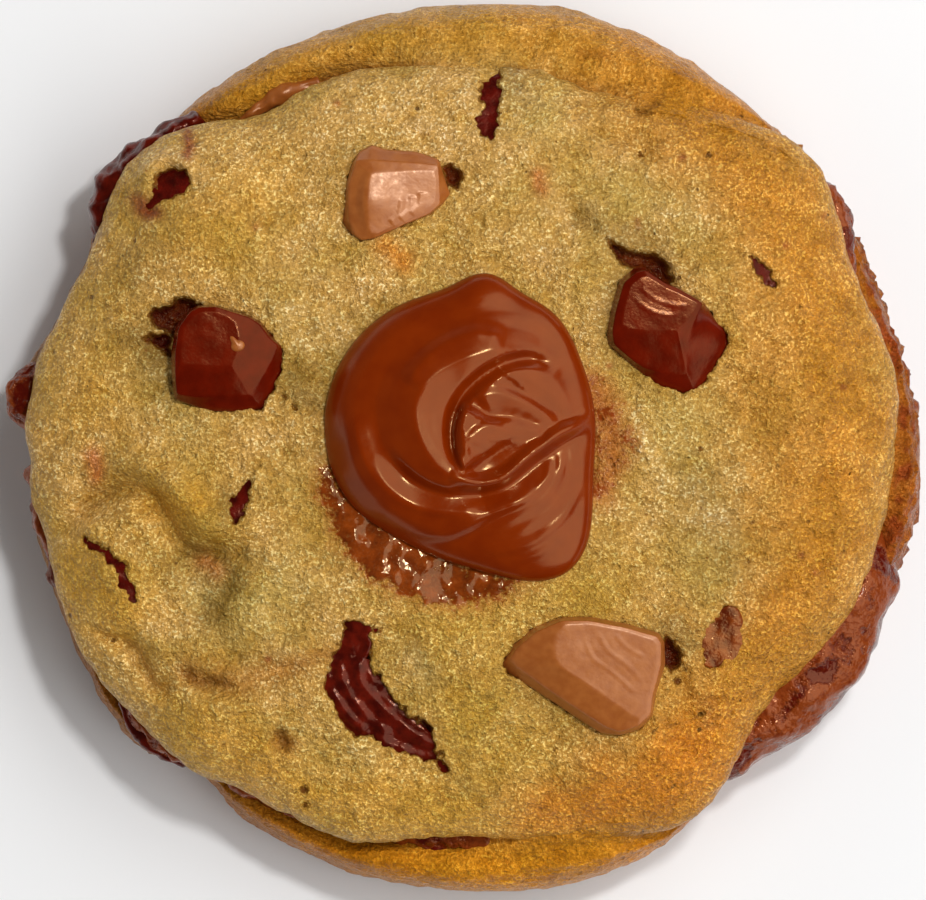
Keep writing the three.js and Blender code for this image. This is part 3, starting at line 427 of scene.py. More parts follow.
def grid_mesh(layers):
    """A closed mesh through rings of equal length, with its two ends closed at their middles."""
    first = layers[0].mean(axis=0, keepdims=True)
    last = layers[-1].mean(axis=0, keepdims=True)
    return ring_mesh([first, *layers, last])


def joined(meshes):
    """Several meshes as one."""
    points, faces, count = [], [], 0
    for vertices, triangles in meshes:
        points.append(vertices)
        faces.append(triangles + count)
        count += len(vertices)
    return np.vstack(points), np.vstack(faces)


def make_piece(name, mesh, material, replaced=(), colours=None, values=None):
    """An object of the cookie from a mesh in millimetres, riding on its only body."""
    vertices, faces = mesh
    data = bpy.data.meshes.new(name)
    data.vertices.add(len(vertices))
    data.vertices.foreach_set("co", (vertices * MM).astype(np.float32).ravel())
    data.loops.add(3 * len(faces))
    data.loops.foreach_set("vertex_index", faces.astype(np.int32).ravel())
    data.polygons.add(len(faces))
    data.polygons.foreach_set("loop_start", np.arange(0, 3 * len(faces), 3, dtype=np.int32))
    data.update(calc_edges=True)
    data.polygons.foreach_set("use_smooth", np.ones(len(faces), bool))
    if colours is not None:
        tint = data.color_attributes.new("tint", "FLOAT_COLOR", "POINT")
        rgba = np.column_stack([colours, np.ones(len(colours))])
        tint.data.foreach_set("color", rgba.astype(np.float32).ravel())
    for key, numbers in (values or {}).items():
        layer = data.attributes.new(key, "FLOAT", "POINT")
        layer.data.foreach_set("value", np.asarray(numbers, np.float32))
    data.materials.append(material)
    piece = bpy.data.objects.new(name, data)
    bpy.context.scene.collection.objects.link(piece)
    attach(piece, "root")
    if replaced:
        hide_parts(*replaced)
    return piece


# ------------------------------------------------------------------ materials


class Recipe:
    """A material built from nodes. Texture sizes are in millimetres."""

    def __init__(self, name):
        self.material = bpy.data.materials.new(name)
        self.material.use_nodes = True
        self.tree = self.material.node_tree
        self.shader = self.tree.nodes["Principled BSDF"]
        self.place = self.node("TexCoord").outputs["Object"]

    def node(self, kind, **settings):
        made = self.tree.nodes.new("ShaderNode" + kind)
        for key, value in settings.items():
            setattr(made, key, value)
        return made

    def feed(self, socket, value):
        """Sets a socket to a number or a colour, or links it to another socket."""
        if isinstance(value, bpy.types.NodeSocket):
            self.tree.links.new(value, socket)
        elif isinstance(value, (int, float)):
            socket.default_value = value
        else:
            socket.default_value = (*value, 1.0) if len(value) == 3 else value

    def set(self, name, value):
        self.feed(self.shader.inputs[name], value)

    def texture(self, kind, size, place):
        made = self.node(kind)
        made.inputs["Scale"].default_value = 1 / (size * MM)
        self.tree.links.new(place, made.inputs["Vector"])
        return made

    def noise(self, size, detail=2.0, roughness=0.5, shift=0.0):
        texture = self.texture("TexNoise", size, self.moved(shift))
        texture.inputs["Detail"].default_value = detail
        texture.inputs["Roughness"].default_value = roughness
        return texture.outputs["Fac"]

    def pores(self, size, widest, share, place):
        """Round dots in some of the cells of a random pattern: 1 inside and 0 outside."""
        texture = self.texture("TexVoronoi", size, place)
        random = self.node("SeparateColor")
        self.tree.links.new(texture.outputs["Color"], random.inputs[0])
        radius = self.spread(random.outputs[0], 1 - share, 1.0, -0.05, widest)
        return self.spread(self.minus(radius, texture.outputs["Distance"]), -0.02, 0.03)

    def warped(self, size, reach):
        """Places shifted to and fro, which makes round things ragged."""
        texture = self.texture("TexNoise", size, self.place)
        shift = self.node("VectorMath", operation="MULTIPLY_ADD")
        self.tree.links.new(texture.outputs["Color"], shift.inputs[0])
        shift.inputs[1].default_value = (2 * reach * MM,) * 3
        self.tree.links.new(self.place, shift.inputs[2])
        return shift.outputs[0]

    def moved(self, shift):
        if not shift:
            return self.place
        add = self.node("VectorMath", operation="ADD")
        self.tree.links.new(self.place, add.inputs[0])
        add.inputs[1].default_value = (shift * MM, 2 * shift * MM, 3 * shift * MM)
        return add.outputs[0]

    def attribute(self, name, output="Fac"):
        return self.node("Attribute", attribute_name=name).outputs[output]

    def math(self, operation, a, b=0.0, clamp=False):
        made = self.node("Math", operation=operation, use_clamp=clamp)
        self.feed(made.inputs[0], a)
        self.feed(made.inputs[1], b)
        return made.outputs[0]

    def plus(self, a, b):
        return self.math("ADD", a, b)

    def minus(self, a, b):
        return self.math("SUBTRACT", a, b)

    def times(self, a, b):
        return self.math("MULTIPLY", a, b)

    def spread(self, value, start, end, low=0.0, high=1.0):
        """Maps a value from start..end to low..high, held at the ends."""
        made = self.node("MapRange", clamp=True)
        for socket, number in zip(made.inputs[1:5], (start, end, low, high)):
            socket.default_value = number
        self.feed(made.inputs[0], value)
        return made.outputs[0]

    def blend(self, share, a, b, kind="MIX"):
        made = self.node("Mix", data_type="RGBA", blend_type=kind)
        self.feed(made.inputs[0], share)
        self.feed(made.inputs[6], a)
        self.feed(made.inputs[7], b)
        return made.outputs[2]

    def tinted(self, colour, factor):
        return self.blend(1.0, colour, factor, "MULTIPLY")

    def bump(self, height, distance, strength=1.0, under=None):
        made = self.node("Bump")
        self.feed(made.inputs["Height"], height)
        made.inputs["Distance"].default_value = distance * MM
        made.inputs["Strength"].default_value = strength
        if under is not None:
            self.tree.links.new(under, made.inputs["Normal"])
        return made.outputs["Normal"]


def shade(red, green, blue):
    return tuple(srgb(red, green, blue))


def dough_material(name, painted_glint_share, sheen, shine):
    """Baked crumb: tinted by the mesh, mottled darker in its hollows and lighter on its crests
    (uneven tone with painted shade and painted light), speckled, with painted glint flecks
    of light and small pores darkened with painted shade.

    The mesh says where the dough is torn open ("pit") and where spread lies on it ("film"), as
    millimetres in from the edge. The edge itself is made ragged here.
    """
    r = Recipe(name)
    crumb = r.noise(0.85, detail=3, roughness=0.65)
    grain = r.noise(0.36, detail=3, roughness=0.6, shift=5)
    clusters = r.noise(2.2, detail=3, roughness=0.6, shift=17)
    mottle = r.noise(2.6, detail=5, roughness=0.7, shift=9)
    broad = r.noise(8.0, detail=2, shift=13)
    fine = r.noise(0.5, detail=2, shift=21)
    wet = r.noise(1.9, detail=1, shift=27)

    # the bare crumb: darker and lighter patches, and colour darker where the bumps fall and lighter
    # where they rise (uneven crumb tone with painted shade in the hollows and painted light on the
    # crests), then painted glint flecks, specks and pores
    colour = r.attribute("tint", "Color")
    colour = r.blend(r.spread(mottle, 0.50, 0.34), colour, r.tinted(colour, (0.82, 0.75, 0.50)))
    colour = r.blend(r.spread(mottle, 0.52, 0.68), colour, r.tinted(colour, (1.12, 1.16, 1.40)))
    patches = r.blend(r.spread(broad, 0.36, 0.64), (0.89, 0.90, 0.72), (1.08, 1.07, 1.16))
    for factor in (patches, r.spread(crumb, 0.32, 0.66, 0.74, 1.17),
                   r.spread(grain, 0.36, 0.58, 0.80, 1.08)):
        colour = r.tinted(colour, factor)
    # painted glint flecks: pale spots in the colour, brightest on the grain's crests, that stand
    # for sparkles of light on the crumb
    painted_glints = r.times(r.spread(grain, 0.54, 0.62), r.spread(clusters, 0.36, 0.60, 0.3, 1.0))
    painted_glints = r.times(painted_glints, r.spread(broad, 0.38, 0.60, 0.6, 1.0))
    colour = r.blend(r.times(painted_glints, painted_glint_share), colour, r.tinted(colour, (1.7, 2.5, 5.0)))
    specks = r.pores(1.3, 0.15, 0.40, r.warped(0.3, 0.15))
    colour = r.blend(r.times(specks, 0.6), colour, shade(138, 78, 18))
    # the pores are darkened with painted shade, standing for the shade inside a small hole
    pores = r.pores(2.6, 0.11, 0.45, r.warped(0.4, 0.2))
    colour = r.blend(r.times(pores, 0.8), colour, shade(104, 58, 16))

    # the film of spread, with a greasy stain round it, and the torn places. The torn places are
    # dark red-brown, partly from chocolate left in them and partly from painted shade: darker
    # further in, and dark in the small holes too
    ragged_edge = r.times(r.minus(fine, 0.5), 1.3)
    thickness = r.plus(r.attribute("film"), r.times(ragged_edge, 2.0))
    thickness = r.plus(thickness, r.spread(mottle, 0.35, 0.65, -0.7, 0.5))
    colour = r.blend(r.spread(thickness, -2.4, -0.2, 0.0, 0.55), colour, shade(176, 100, 26))
    film = r.spread(thickness, -0.65, 0.30)
    film_colour = r.blend(r.spread(mottle, 0.42, 0.62), shade(97, 23, 0), shade(136, 50, 4))
    colour = r.blend(r.times(film, 0.92), colour, film_colour)
    inside = r.plus(r.attribute("pit"), r.times(ragged_edge, 0.7))
    pit = r.spread(inside, -0.06, 0.10)
    pit_colour = r.blend(r.spread(mottle, 0.42, 0.60), shade(78, 8, 2), shade(116, 44, 6))
    pit_colour = r.blend(r.spread(inside, 0.55, 0.05), pit_colour, shade(132, 88, 26))
    r.set("Base Color", r.blend(pit, colour, pit_colour))

    rough = r.minus(r.spread(crumb, 0.3, 0.7, 0.40, 0.22), r.times(film, 0.22))
    r.set("Roughness", r.math("SUBTRACT", rough, r.times(pit, 0.12), clamp=True))
    r.set("Specular Tint", sheen)
    r.set("Specular IOR Level", shine)

    # heights are centred before the film flattens them, or its edge would be a step
    bare = r.spread(film, 0.0, 1.0, 1.0, 0.05)
    coarse = r.times(r.minus(mottle, 0.5), bare)
    coarse = r.plus(coarse, r.times(r.minus(wet, 0.5), r.times(film, 0.45)))
    height = r.plus(crumb, r.times(grain, 0.4))
    height = r.minus(height, r.times(pores, 0.5))
    height = r.times(r.minus(height, 0.7), bare)
    r.set("Normal", r.bump(height, 0.62, 0.95, r.bump(coarse, 1.1, 0.85)))
    return r.material


def chocolate_material(name, light, dark, roughness, sheen, shine, bump=0.03, waves_size=1.6,
                       coat=0.05, ior=None):
    """Chocolate: faint uneven shade, smooth or satin skin, slight waves and warm reflections."""
    r = Recipe(name)
    waves = r.noise(waves_size, detail=2)
    grain = r.noise(0.35, detail=2, shift=4)
    r.set("Base Color", r.blend(r.spread(waves, 0.35, 0.65), shade(*dark), shade(*light)))
    r.set("Roughness", r.spread(grain, 0.3, 0.7, roughness * 0.85, roughness * 1.2))
    r.set("Specular Tint", sheen)
    r.set("Specular IOR Level", shine)
    if ior:
        r.set("IOR", ior)
    r.set("Coat Weight", coat)
    r.set("Coat Roughness", 0.75 * roughness)
    r.set("Normal", r.bump(r.plus(waves, r.times(grain, 0.35)), bump, 0.8))
    return r.material


def filling_material():
    """Crusted filling: plates of matte brown, dark red hollows, fine cracks and glossy spots."""
    r = Recipe("baked_filling")
    broad = r.noise(4.2, detail=4, roughness=0.55)
    grain = r.noise(0.8, detail=2, roughness=0.6, shift=6)
    plates = r.spread(broad, 0.43, 0.50)
    brown = r.blend(plates, shade(84, 12, 3), shade(131, 56, 18))
    cracks = r.times(r.spread(grain, 0.50, 0.34), 0.6)
    r.set("Base Color", r.blend(cracks, brown, shade(100, 30, 8)))
    r.set("Roughness", r.spread(broad, 0.42, 0.56, 0.08, 0.20))
    r.set("Specular Tint", (1.0, 0.50, 0.25))
    r.set("Specular IOR Level", 0.55)
    r.set("Coat Weight", 0.08)
    r.set("Coat Roughness", 0.12)
    height = r.plus(r.times(grain, 0.15), r.times(broad, 2.0))
    r.set("Normal", r.bump(r.plus(height, r.times(plates, 0.4)), 0.6, 0.9))
    return r.material


# ------------------------------------------------------------------ the dough's colours

COLOURS = {
    "beige": srgb(189, 149, 84),
    "pale": srgb(197, 158, 98),
    "golden": srgb(197, 148, 60),
    "orange": srgb(186, 124, 38),
    "deep_orange": srgb(192, 116, 24),
    "rim_brown": srgb(150, 80, 28),
    "yellow_olive": srgb(187, 147, 66),
    "olive": srgb(130, 100, 44),
    "grey": srgb(192, 162, 102),
    "salmon": srgb(190, 106, 60),
    "brown": srgb(160, 100, 38),
    "red_brown": srgb(130, 52, 26),
    "dark_brown": srgb(112, 66, 16),
    # greyish colour of the painted shade patches in the stains below
    "painted_shade": srgb(140, 111, 68),
}

DOUGH_TONE = np.array([1.155, 1.045, 0.70])      # warms all the dough's colours alike

# Patches of colour in the dough: colour, path, reach and strength.
STAINS = [
    ("pale", [(-6, 40), (8, 38), (16, 24)], 9, 0.8),
    ("pale", [(-14, 24), (-16, 14)], 6, 0.5),
    ("pale", [(-34, -22), (-22, -22)], 4, 0.7),
    ("orange", [(24, 45), (38, 30), (43, 18), (46, 3), (44, -9), (38, -21), (33, -30), (26, -40),
                (16, -46)], 8.5, 0.95),
    ("orange", [(34, 12), (36, 0), (34, -10)], 5, 0.45),
    ("golden", [(16, -45), (4, -47), (-8, -43), (-20, -39), (-30, -34)], 5.5, 0.8),
    ("deep_orange", [(10, -43), (20, -41), (28, -36)], 4.5, 0.75),
    ("golden", [(-46, -15), (-41, -19)], 4.5, 0.8),
    ("golden", [(-45, 5), (-44, 8)], 3.5, 0.6),
    ("golden", [(-37, -7), (-32, -6)], 3.2, 0.8),
    ("golden", [(-31, 25), (-25, 30)], 5, 0.5),
    ("yellow_olive", [(-29, -9), (-33, -11)], 3, 0.7),
    ("olive", [(-33, -13), (-27, -13.5)], 2.6, 0.8),
    ("grey", [(-31, -17), (-26, -19), (-22, -16)], 3.6, 0.85),
    ("olive", [(-28, -17), (-29.5, -20)], 1.8, 0.5),
    ("grey", [(-37, 11), (-34, 3)], 3.2, 0.55),
    ("grey", [(-21, 16), (-17, 13)], 3.6, 0.5),
    ("olive", [(-40, 21), (-37, 23)], 2.6, 0.4),
    ("olive", [(-39, 14), (-37, 11)], 1.8, 0.7),
    ("olive", [(-20, 10), (-18.5, 7)], 2.2, 0.5),
    ("yellow_olive", [(-4, -22), (6, -20), (16, -18)], 5.5, 0.75),
    ("yellow_olive", [(2, -30), (-1, -34), (8, -36)], 4.5, 0.8),
    ("grey", [(-5.8, -24.7), (-5, -26.5)], 1.7, 0.8),
    ("grey", [(-13, -36.5), (-21, -34.5)], 2.6, 0.5),
    ("grey", [(24, 2), (29, -6), (30, -14)], 5, 0.65),
    ("grey", [(26, 28), (19, 30)], 3.6, 0.65),
    ("grey", [(5, 44), (9, 41)], 3.0, 0.6),
    ("brown", [(-33, -26), (-27, -27.5), (-20, -25.5), (-16, -25)], 1.7, 0.55),
    ("brown", [(-22, -35), (-21, -35.6)], 1.3, 0.6),
    ("dark_brown", [(-33.2, -26.4), (-31.8, -27.2), (-28.4, -27.8)], 0.8, 0.75),
    ("dark_brown", [(-22.0, -34.0), (-21.4, -35.4)], 0.8, 0.7),
    ("dark_brown", [(21.2, 40.6), (23.0, 41.4), (24.2, 42.4)], 0.6, 0.6),
    ("red_brown", [(-39.0, 29.6), (-37.4, 28.6)], 1.0, 0.8),
    ("red_brown", [(-30.2, 43.6), (-28.6, 44.4)], 0.8, 0.7),
    ("salmon", [(-44.4, -0.9), (-43.8, -2.8)], 1.2, 0.8),
    ("salmon", [(9.0, 33.2), (9.3, 31.8)], 1.1, 0.75),
    ("red_brown", [(13.9, 47.5), (17.2, 47.2)], 0.6, 0.8),
    ("salmon", [(-31, -13.6), (-29.8, -14.4)], 1.3, 0.6),
    ("deep_orange", [(-9.6, 24.4), (-6.4, 22.6)], 1.2, 0.8),
    ("red_brown", [(-38.8, 28.6), (-36.6, 28.2)], 0.8, 0.8),
    ("red_brown", [(-23.3, -25)], 0.4, 0.9),
    ("red_brown", [(26.2, 34.8)], 0.5, 0.8),
    ("red_brown", [(20.8, 27.4), (20.9, 26.4)], 0.35, 0.8),
    ("red_brown", [(-24.9, 26.5)], 0.5, 0.6),
    ("pale", [(-38.2, 31.8), (-36.8, 34.6), (-33.6, 34.8), (-32.2, 33.0)], 1.5, 0.9),
    ("red_brown", [(-33.0, 38.2), (-32.6, 36.4), (-33.2, 35.2)], 0.7, 0.95),
    # painted shade: greyish patches that stand for the shade beside chunks, strips and hollows
    ("painted_shade", [(14.5, 28.0), (19.5, 25.3), (24.5, 22.0)], 2.2, 0.55),
    ("painted_shade", [(5.6, 45.2), (6.4, 42.6)], 1.8, 0.5),
    ("painted_shade", [(28.5, -3.5), (30.0, -8.0), (31.5, -12.5)], 3.2, 0.4),
    ("painted_shade", [(-29, -16), (-30, -20.5)], 2.4, 0.5),
    ("painted_shade", [(-6.6, -23.6), (-3.6, -27.6)], 2.0, 0.45),
    ("painted_shade", [(-28.0, -5.0), (-28.4, -8.0)], 1.2, 0.5),
    ("painted_shade", [(24.5, -21.0), (27.4, -23.4)], 1.8, 0.55),
    ("painted_shade", [(-20.5, 8.6), (-18.6, 5.4)], 1.0, 0.45),
    ("brown", [(29.4, -29.8), (29.0, -33.2)], 0.9, 0.65),
    ("salmon", [(15.6, 7.4), (17.2, 3.0), (17.4, -2.0), (16.4, -5.2)], 1.6, 0.7),
]

# Small flecks of chocolate in the crumb: x and y.
FLECKS = [
    (7.1, 51.8), (43.3, 28.0), (45.4, 7.6), (17.3, 10.1), (40.5, -12.4), (42.1, -14.6),
    (5.3, -49.4), (3.4, -51.5), (38.6, 24.4), (-15.0, 41.5),
]
STAINS += [("red_brown", [place], 0.42, 0.8) for place in FLECKS]

# Small torn holes in the dough: x, y, radius and depth.
HOLES = [
    (-19.0, -40.6, 0.55, 0.7), (-18.7, -42.4, 0.45, 0.6), (-28.7, -35.4, 0.3, 0.4),
    (12.5, 47.1, 0.35, 0.4), (20.4, 46.2, 0.3, 0.4), (21.2, 35.3, 0.4, 0.5),
    (29.4, 35.3, 0.4, 0.5), (31.1, 30.3, 0.25, 0.3), (5.2, -49.2, 0.3, 0.4),
    (21.4, -45.6, 0.35, 0.4), (25.2, -40.2, 0.3, 0.4), (-7.4, -47.4, 0.3, 0.4),
    (26.6, -26.2, 0.35, 0.5), (28.6, -31.6, 0.4, 0.5), (28.2, -33.4, 0.35, 0.5),
    (34.6, -8.6, 0.25, 0.3), (25.6, -27.6, 0.5, 0.6), (40.4, 17.0, 0.3, 0.3),
]

# Crumbly places in the dough: x, y and reach.
CRUMBLY_PLACES = [
    (-35.6, 32.2, 3.4), (-31.0, -27.4, 4.5), (-21.5, -35.0, 3.0), (21.6, 40.8, 3.4),
    (26.0, -28.0, 5.0), (-18.9, -41.4, 2.6), (-36.0, 14.5, 4.0), (-8.0, 37.4, 3.0),
    (-38.0, -25.5, 5.0), (14.0, -35.5, 5.0), (28.0, -36.0, 6.0), (-12.0, -37.0, 4.0),
    (22.0, 21.0, 4.0),
]
SPECKS = 90                 # tiny torn specks strewn over the dough, most on its right

# Torn cracks in the dough: path and half width.
CRACKS = [
    ([(-21.8, 6.9), (-20.6, 5.6), (-19.4, 4.4)], 0.16),
    ([(20.9, 40.4), (21.8, 41.2), (22.6, 40.8), (23.8, 42.0)], 0.15),
    ([(-10, 21.6), (-8.2, 22.5), (-5.2, 22.6)], 0.1),
]

# Fine creases and crumbly ridges of the dough: path, width and lift.
FINE_STROKES = [
    ([(-49.5, -10.9), (-47, -8.5), (-43.5, -5.6), (-39.7, -4.6), (-36.7, -5.9), (-35.0, -9.2),
      (-33.2, -11.6), (-29.8, -12.6), (-26.8, -12.0)], 0.6, -1.1),
    ([(-45.2, -21.3), (-42.2, -22.6), (-39.7, -23.7), (-38.6, -25.3), (-37, -28.3),
      (-35.0, -28.8)], 0.6, -1.2),
    ([(-42.5, -3.0), (-38.5, -2.6), (-34.0, -5.0), (-31.0, -8.2), (-27.5, -9.2)], 2.0, 0.9),
    ([(-46.5, -11.0), (-43.0, -8.6), (-39.4, -7.8), (-36.8, -9.4), (-35.0, -12.6)], 1.5, 0.6),
    ([(-27.5, -14.2), (-28.4, -17.0), (-30.4, -20.0)], 1.0, -0.6),
    ([(-33.8, -15.6), (-33.0, -19.6), (-30.6, -22.6)], 1.4, 0.7),
    ([(-35.2, -26.0), (-31.6, -28.0), (-27.0, -28.6), (-21.5, -26.2), (-17.4, -25.4)], 0.8, -0.6),
    ([(-34.5, -31.0), (-29.0, -31.0), (-22.0, -28.8)], 1.8, 0.5),
    ([(-38.3, 31.4), (-37.9, 33.4), (-35.9, 34.9), (-33.7, 34.7), (-32.6, 33.0)], 0.9, 1.5),
    ([(17.0, 26.2), (19.6, 24.4), (22.5, 23.9), (24.9, 22.6), (26.0, 20.6)], 0.6, 0.6),
    ([(16.4, 25.9), (14.0, 27.4), (11.8, 27.6)], 0.9, -0.7),
    ([(7.0, -35.6), (10.5, -33.4), (14.5, -33.0)], 0.9, -0.6),
    ([(14.1, 38.9), (17.4, 37.8), (20.6, 36.3), (22.0, 34.8)], 0.6, -0.5),
    ([(2.0, -44.8), (9.0, -44.4), (15.0, -45.4)], 0.8, -0.4),
    ([(25.2, -27.0), (26.6, -29.2), (27.0, -32.2)], 0.8, -0.5),
    ([(-33.4, -26.2), (-31.8, -27.2), (-28.2, -28.0)], 0.8, -0.9),
    ([(-22.2, -33.6), (-21.2, -35.6)], 0.9, -0.8),
    ([(20.8, 40.4), (22.8, 41.2), (24.4, 42.6)], 0.6, -0.6),
]

# Open pits beside chunks: outline and depth.
OPEN_PITS = [
    ([(-37.9, 15.8), (-37.3, 17.0), (-35.6, 17.3), (-34.9, 17.9), (-33.2, 18.5), (-31.6, 17.6),
      (-29.8, 16.9), (-28.2, 15.9), (-29.7, 13.1), (-33.9, 13.0), (-36.3, 14.3)], 2.4),
    ([(-38.6, 13.4), (-37.5, 14.1), (-34.6, 14.0), (-34.6, 10.7), (-36.3, 11.7), (-37.5, 12.5)],
     1.6),
    ([(17.1, 25.5), (19.9, 23.9), (23.0, 23.5), (24.5, 22.5), (24.7, 20.9), (25.7, 20.0),
      (23.9, 19.1), (21.9, 20.9), (20.1, 21.5), (18.4, 22.5), (17.5, 23.9)], 2.4),
    ([(-2.7, 34.0), (-1.3, 34.4), (0.2, 32.6), (-0.5, 31.2), (-2.4, 31.2)], 1.9),
    ([(-37.2, 32.4), (-36.2, 33.5), (-34.6, 33.9), (-33.0, 33.3), (-32.6, 31.8), (-33.4, 30.4),
      (-35.0, 29.8), (-36.6, 30.6)], 1.2),
    ([(24.1, -21.9), (25.3, -22.9), (26.3, -24.3), (26.1, -25.7), (24.8, -26.8), (23.2, -25.3)],
     2.2),
]

# The melted chunk's hollow, which has a ragged edge of its own.
MELTED_HOLLOW = [
    (-14.1, -20.3), (-8.9, -21.3), (-10.9, -22.1), (-11.2, -25.3), (-9.3, -28.0), (-6.5, -31.5),
    (-3.9, -32.7), (-2.9, -35.5), (-1.9, -38.2), (-1.3, -39.2), (-4.1, -37.3), (-7.7, -36.1),
    (-11.1, -34.3), (-13.3, -34.3), (-15.3, -31.5), (-16.7, -27.7), (-15.5, -23.8),
    (-14.6, -22.4),
]

# Thin films of spread on the dough beside the dollop: the most they cover, then x, y and half
# width along their middles.
FILMS = [
    (1.0, [(-16.0, -3.2, 0.9), (-14.2, -7.0, 1.9), (-11.8, -10.0, 2.8), (-8.6, -12.6, 3.2),
           (-4.8, -14.6, 3.2), (-0.6, -15.8, 2.5), (3.2, -16.2, 1.4), (7.0, -15.2, 0.5)]),
    (-0.25, [(15.2, 8.4, 0.4), (16.2, 5.6, 1.4), (17.3, 2.2, 2.2), (17.2, -1.4, 1.9),
             (16.0, -4.6, 0.8)]),
]


def chunk_rim(chunk):
    """The chunk's rim in the plan of the cookie."""
    return [(chunk["x"] + corner[0], chunk["y"] + corner[1]) for corner in chunk["corners"]]


def dough_top(x, y):
    """Height of the upper round's top, as in the solids."""
    share = np.minimum(1, share_of(UPPER_OUTLINE, x, y))
    waves = sum(lift * np.sin(by_x * x + by_y * y + shift) for lift, by_x, by_y, shift in WAVES)
    relief = lumps_at(DOUGH_LUMPS, x, y) + strokes_at(DOUGH_STROKES, x, y) + waves
    crown = np.sqrt(np.maximum(0, 1 - share**CROWN_POWER))
    return mix(UPPER_WIDEST_HEIGHT, CROWN_HEIGHT, crown) + smooth_step(1, 0.86, share) * relief


def top_height(x, y):
    """Height of the dough's top at one place."""
    return dough_top(np.array([float(x)]), np.array([float(y)]))[0]


# Bumps that are alike all over the dough: height, shift of the pattern, and size.
EVEN_RELIEF = [(0.30, 150, 8.0), (0.28, 0, 4.0), (0.20, 40, 2.1)]


def dough_relief(points):
    """Small bumps of baked dough, from a few millimetres down to the mesh's own spacing."""
    crumbly = smooth_step(-0.2, 0.7, lumpy(points + 120, 9.0))
    for at_x, at_y, reach in CRUMBLY_PLACES:
        off = np.hypot(points[:, 0] - at_x, points[:, 1] - at_y) / reach
        crumbly = np.maximum(crumbly, 2.4 * np.exp(-off**2))
    even = sum(height * lumpy(points + shift, size) for height, shift, size in EVEN_RELIEF)
    return (even + mix(0.06, 0.16, crumbly) * lumpy(points + 80, 1.2)
            + mix(0.03, 0.08, crumbly) * ragged(points, 0.8))


def speck_holes():
    """Small holes at random places, closer together towards the right."""
    random = np.random.default_rng(5)
    turn = random.uniform(0, 2 * np.pi, SPECKS)
    reach = 48 * np.sqrt(random.uniform(0.12, 1, SPECKS))
    x, y = reach * np.cos(turn), reach * np.sin(turn)
    keep = random.uniform(0, 1, SPECKS) < 0.45 + x / 60
    radius = random.uniform(0.1, 0.3, SPECKS)
    return list(zip(x[keep], y[keep], radius[keep], radius[keep] + 0.1))


FAR_OUTSIDE = -9.0          # stands for places well outside a band or a tear


def beside_path(path, x, y, reach):
    """Millimetres in from the edge of a band along rows of x, y and half width."""
    rows = smooth_rows(path, 6)
    inside = np.full(len(x), FAR_OUTSIDE)
    near = close_to(rows, x, y, rows[:, 2].max() + reach)
    distance, along, _ = nearest_on_path(rows, x[near], y[near])
    width = np.interp(along * (len(rows) - 1), np.arange(len(rows)), rows[:, 2])
    inside[near] = width - distance
    return inside


# How ragged the torn edges are, and how far a chunk's rim stands over its torn hollow.
CHUNK_RAGGED, HOLLOW_RAGGED, STRIP_RAGGED, BURIED_RAGGED, CRACK_RAGGED = 1.3, 1.9, 1.8, 2.4, 1.3
HOLE_RAGGED = 0.3
CHUNK_OVERHANG = 0.35
STRIP_OVERHANG = 0.15


def torn_dough(x, y):
    """How deep the dough is torn open, and millimetres in from the torn edge."""
    rough = 0.28 * ragged(flat_points(x, y), 1.3) + 0.24 * ragged(flat_points(x, y, 9), 0.7)
    depth = np.zeros(len(x))
    inside = np.full(len(x), FAR_OUTSIDE)

    def tear(measure, deep, wall):
        depth[:] = np.maximum(depth, deep * smooth_step(-0.1, wall, measure))
        inside[:] = np.maximum(inside, measure)

    for chunk in CHUNKS.values():
        measure = -inside_outline(chunk_rim(chunk), x, y)
        tear(measure - CHUNK_OVERHANG + CHUNK_RAGGED * rough, chunk["depth"] + 0.3, 0.7)
    for outline, deep in OPEN_PITS:
        tear(rough - inside_outline(outline, x, y), deep, 0.9)
    tear(HOLLOW_RAGGED * rough - inside_outline(MELTED_HOLLOW, x, y), 1.7, 0.6)
    for name, (deep, _, path) in MELTED_PIECES.items():
        if name != "melted_chunk":
            edge = (BURIED_RAGGED if name == "buried_milk_chunk" else STRIP_RAGGED) * rough
            tear(beside_path(path, x, y, 2) - STRIP_OVERHANG + edge, 0.8 * deep, 0.5)
    for at_x, at_y, radius, deep in HOLES + speck_holes():
        tear(radius - np.hypot(x - at_x, y - at_y) + HOLE_RAGGED * rough, deep, 0.4)
    for path, half_width in CRACKS:
        rows = [(*point, half_width) for point in path]
        tear(beside_path(rows, x, y, 2) + CRACK_RAGGED * rough, 0.7, 0.3)
    return depth, inside


def film_cover(x, y):
    """Millimetres in from the edge of the thin films of spread round the dollop."""
    rough = 0.8 * ragged(flat_points(x, y, 30), 2.4) + 0.35 * ragged(flat_points(x, y, 40), 0.9)
    cover = np.full(len(x), FAR_OUTSIDE)
    for most, path in FILMS:
        cover = np.maximum(cover, np.minimum(most, beside_path(path, x, y, 6) + rough))
    return cover


SEAT_DEPTH = 1.6


def seat_depth(x, y):
    """The shallow seat under the dollop."""
    share = share_of(DOLLOP_OUTLINE, x - DOLLOP_CENTRE[0], y - DOLLOP_CENTRE[1])
    return SEAT_DEPTH * smooth_step(0.99, 0.93, share)


BOX_SOFT = 0.6              # how far inside the solids' box the squeeze begins
BOX_MARGIN = 0.03           # how far inside it every point stays


def within_box(points):
    """Points gently squeezed so that none lies outside the solids' own box."""

    def squeeze(past):
        return past - (BOX_SOFT - BOX_MARGIN) * np.tanh(past / BOX_SOFT)

    low, high = np.array(cad_box) / MM
    over = np.maximum(0, points - (high - BOX_SOFT))
    under = np.maximum(0, (low + BOX_SOFT) - points)
    under[:, 2] = 0
    return points - squeeze(over) + squeeze(under)


def beige(count):
    return np.tile(COLOURS["beige"], (count, 1))


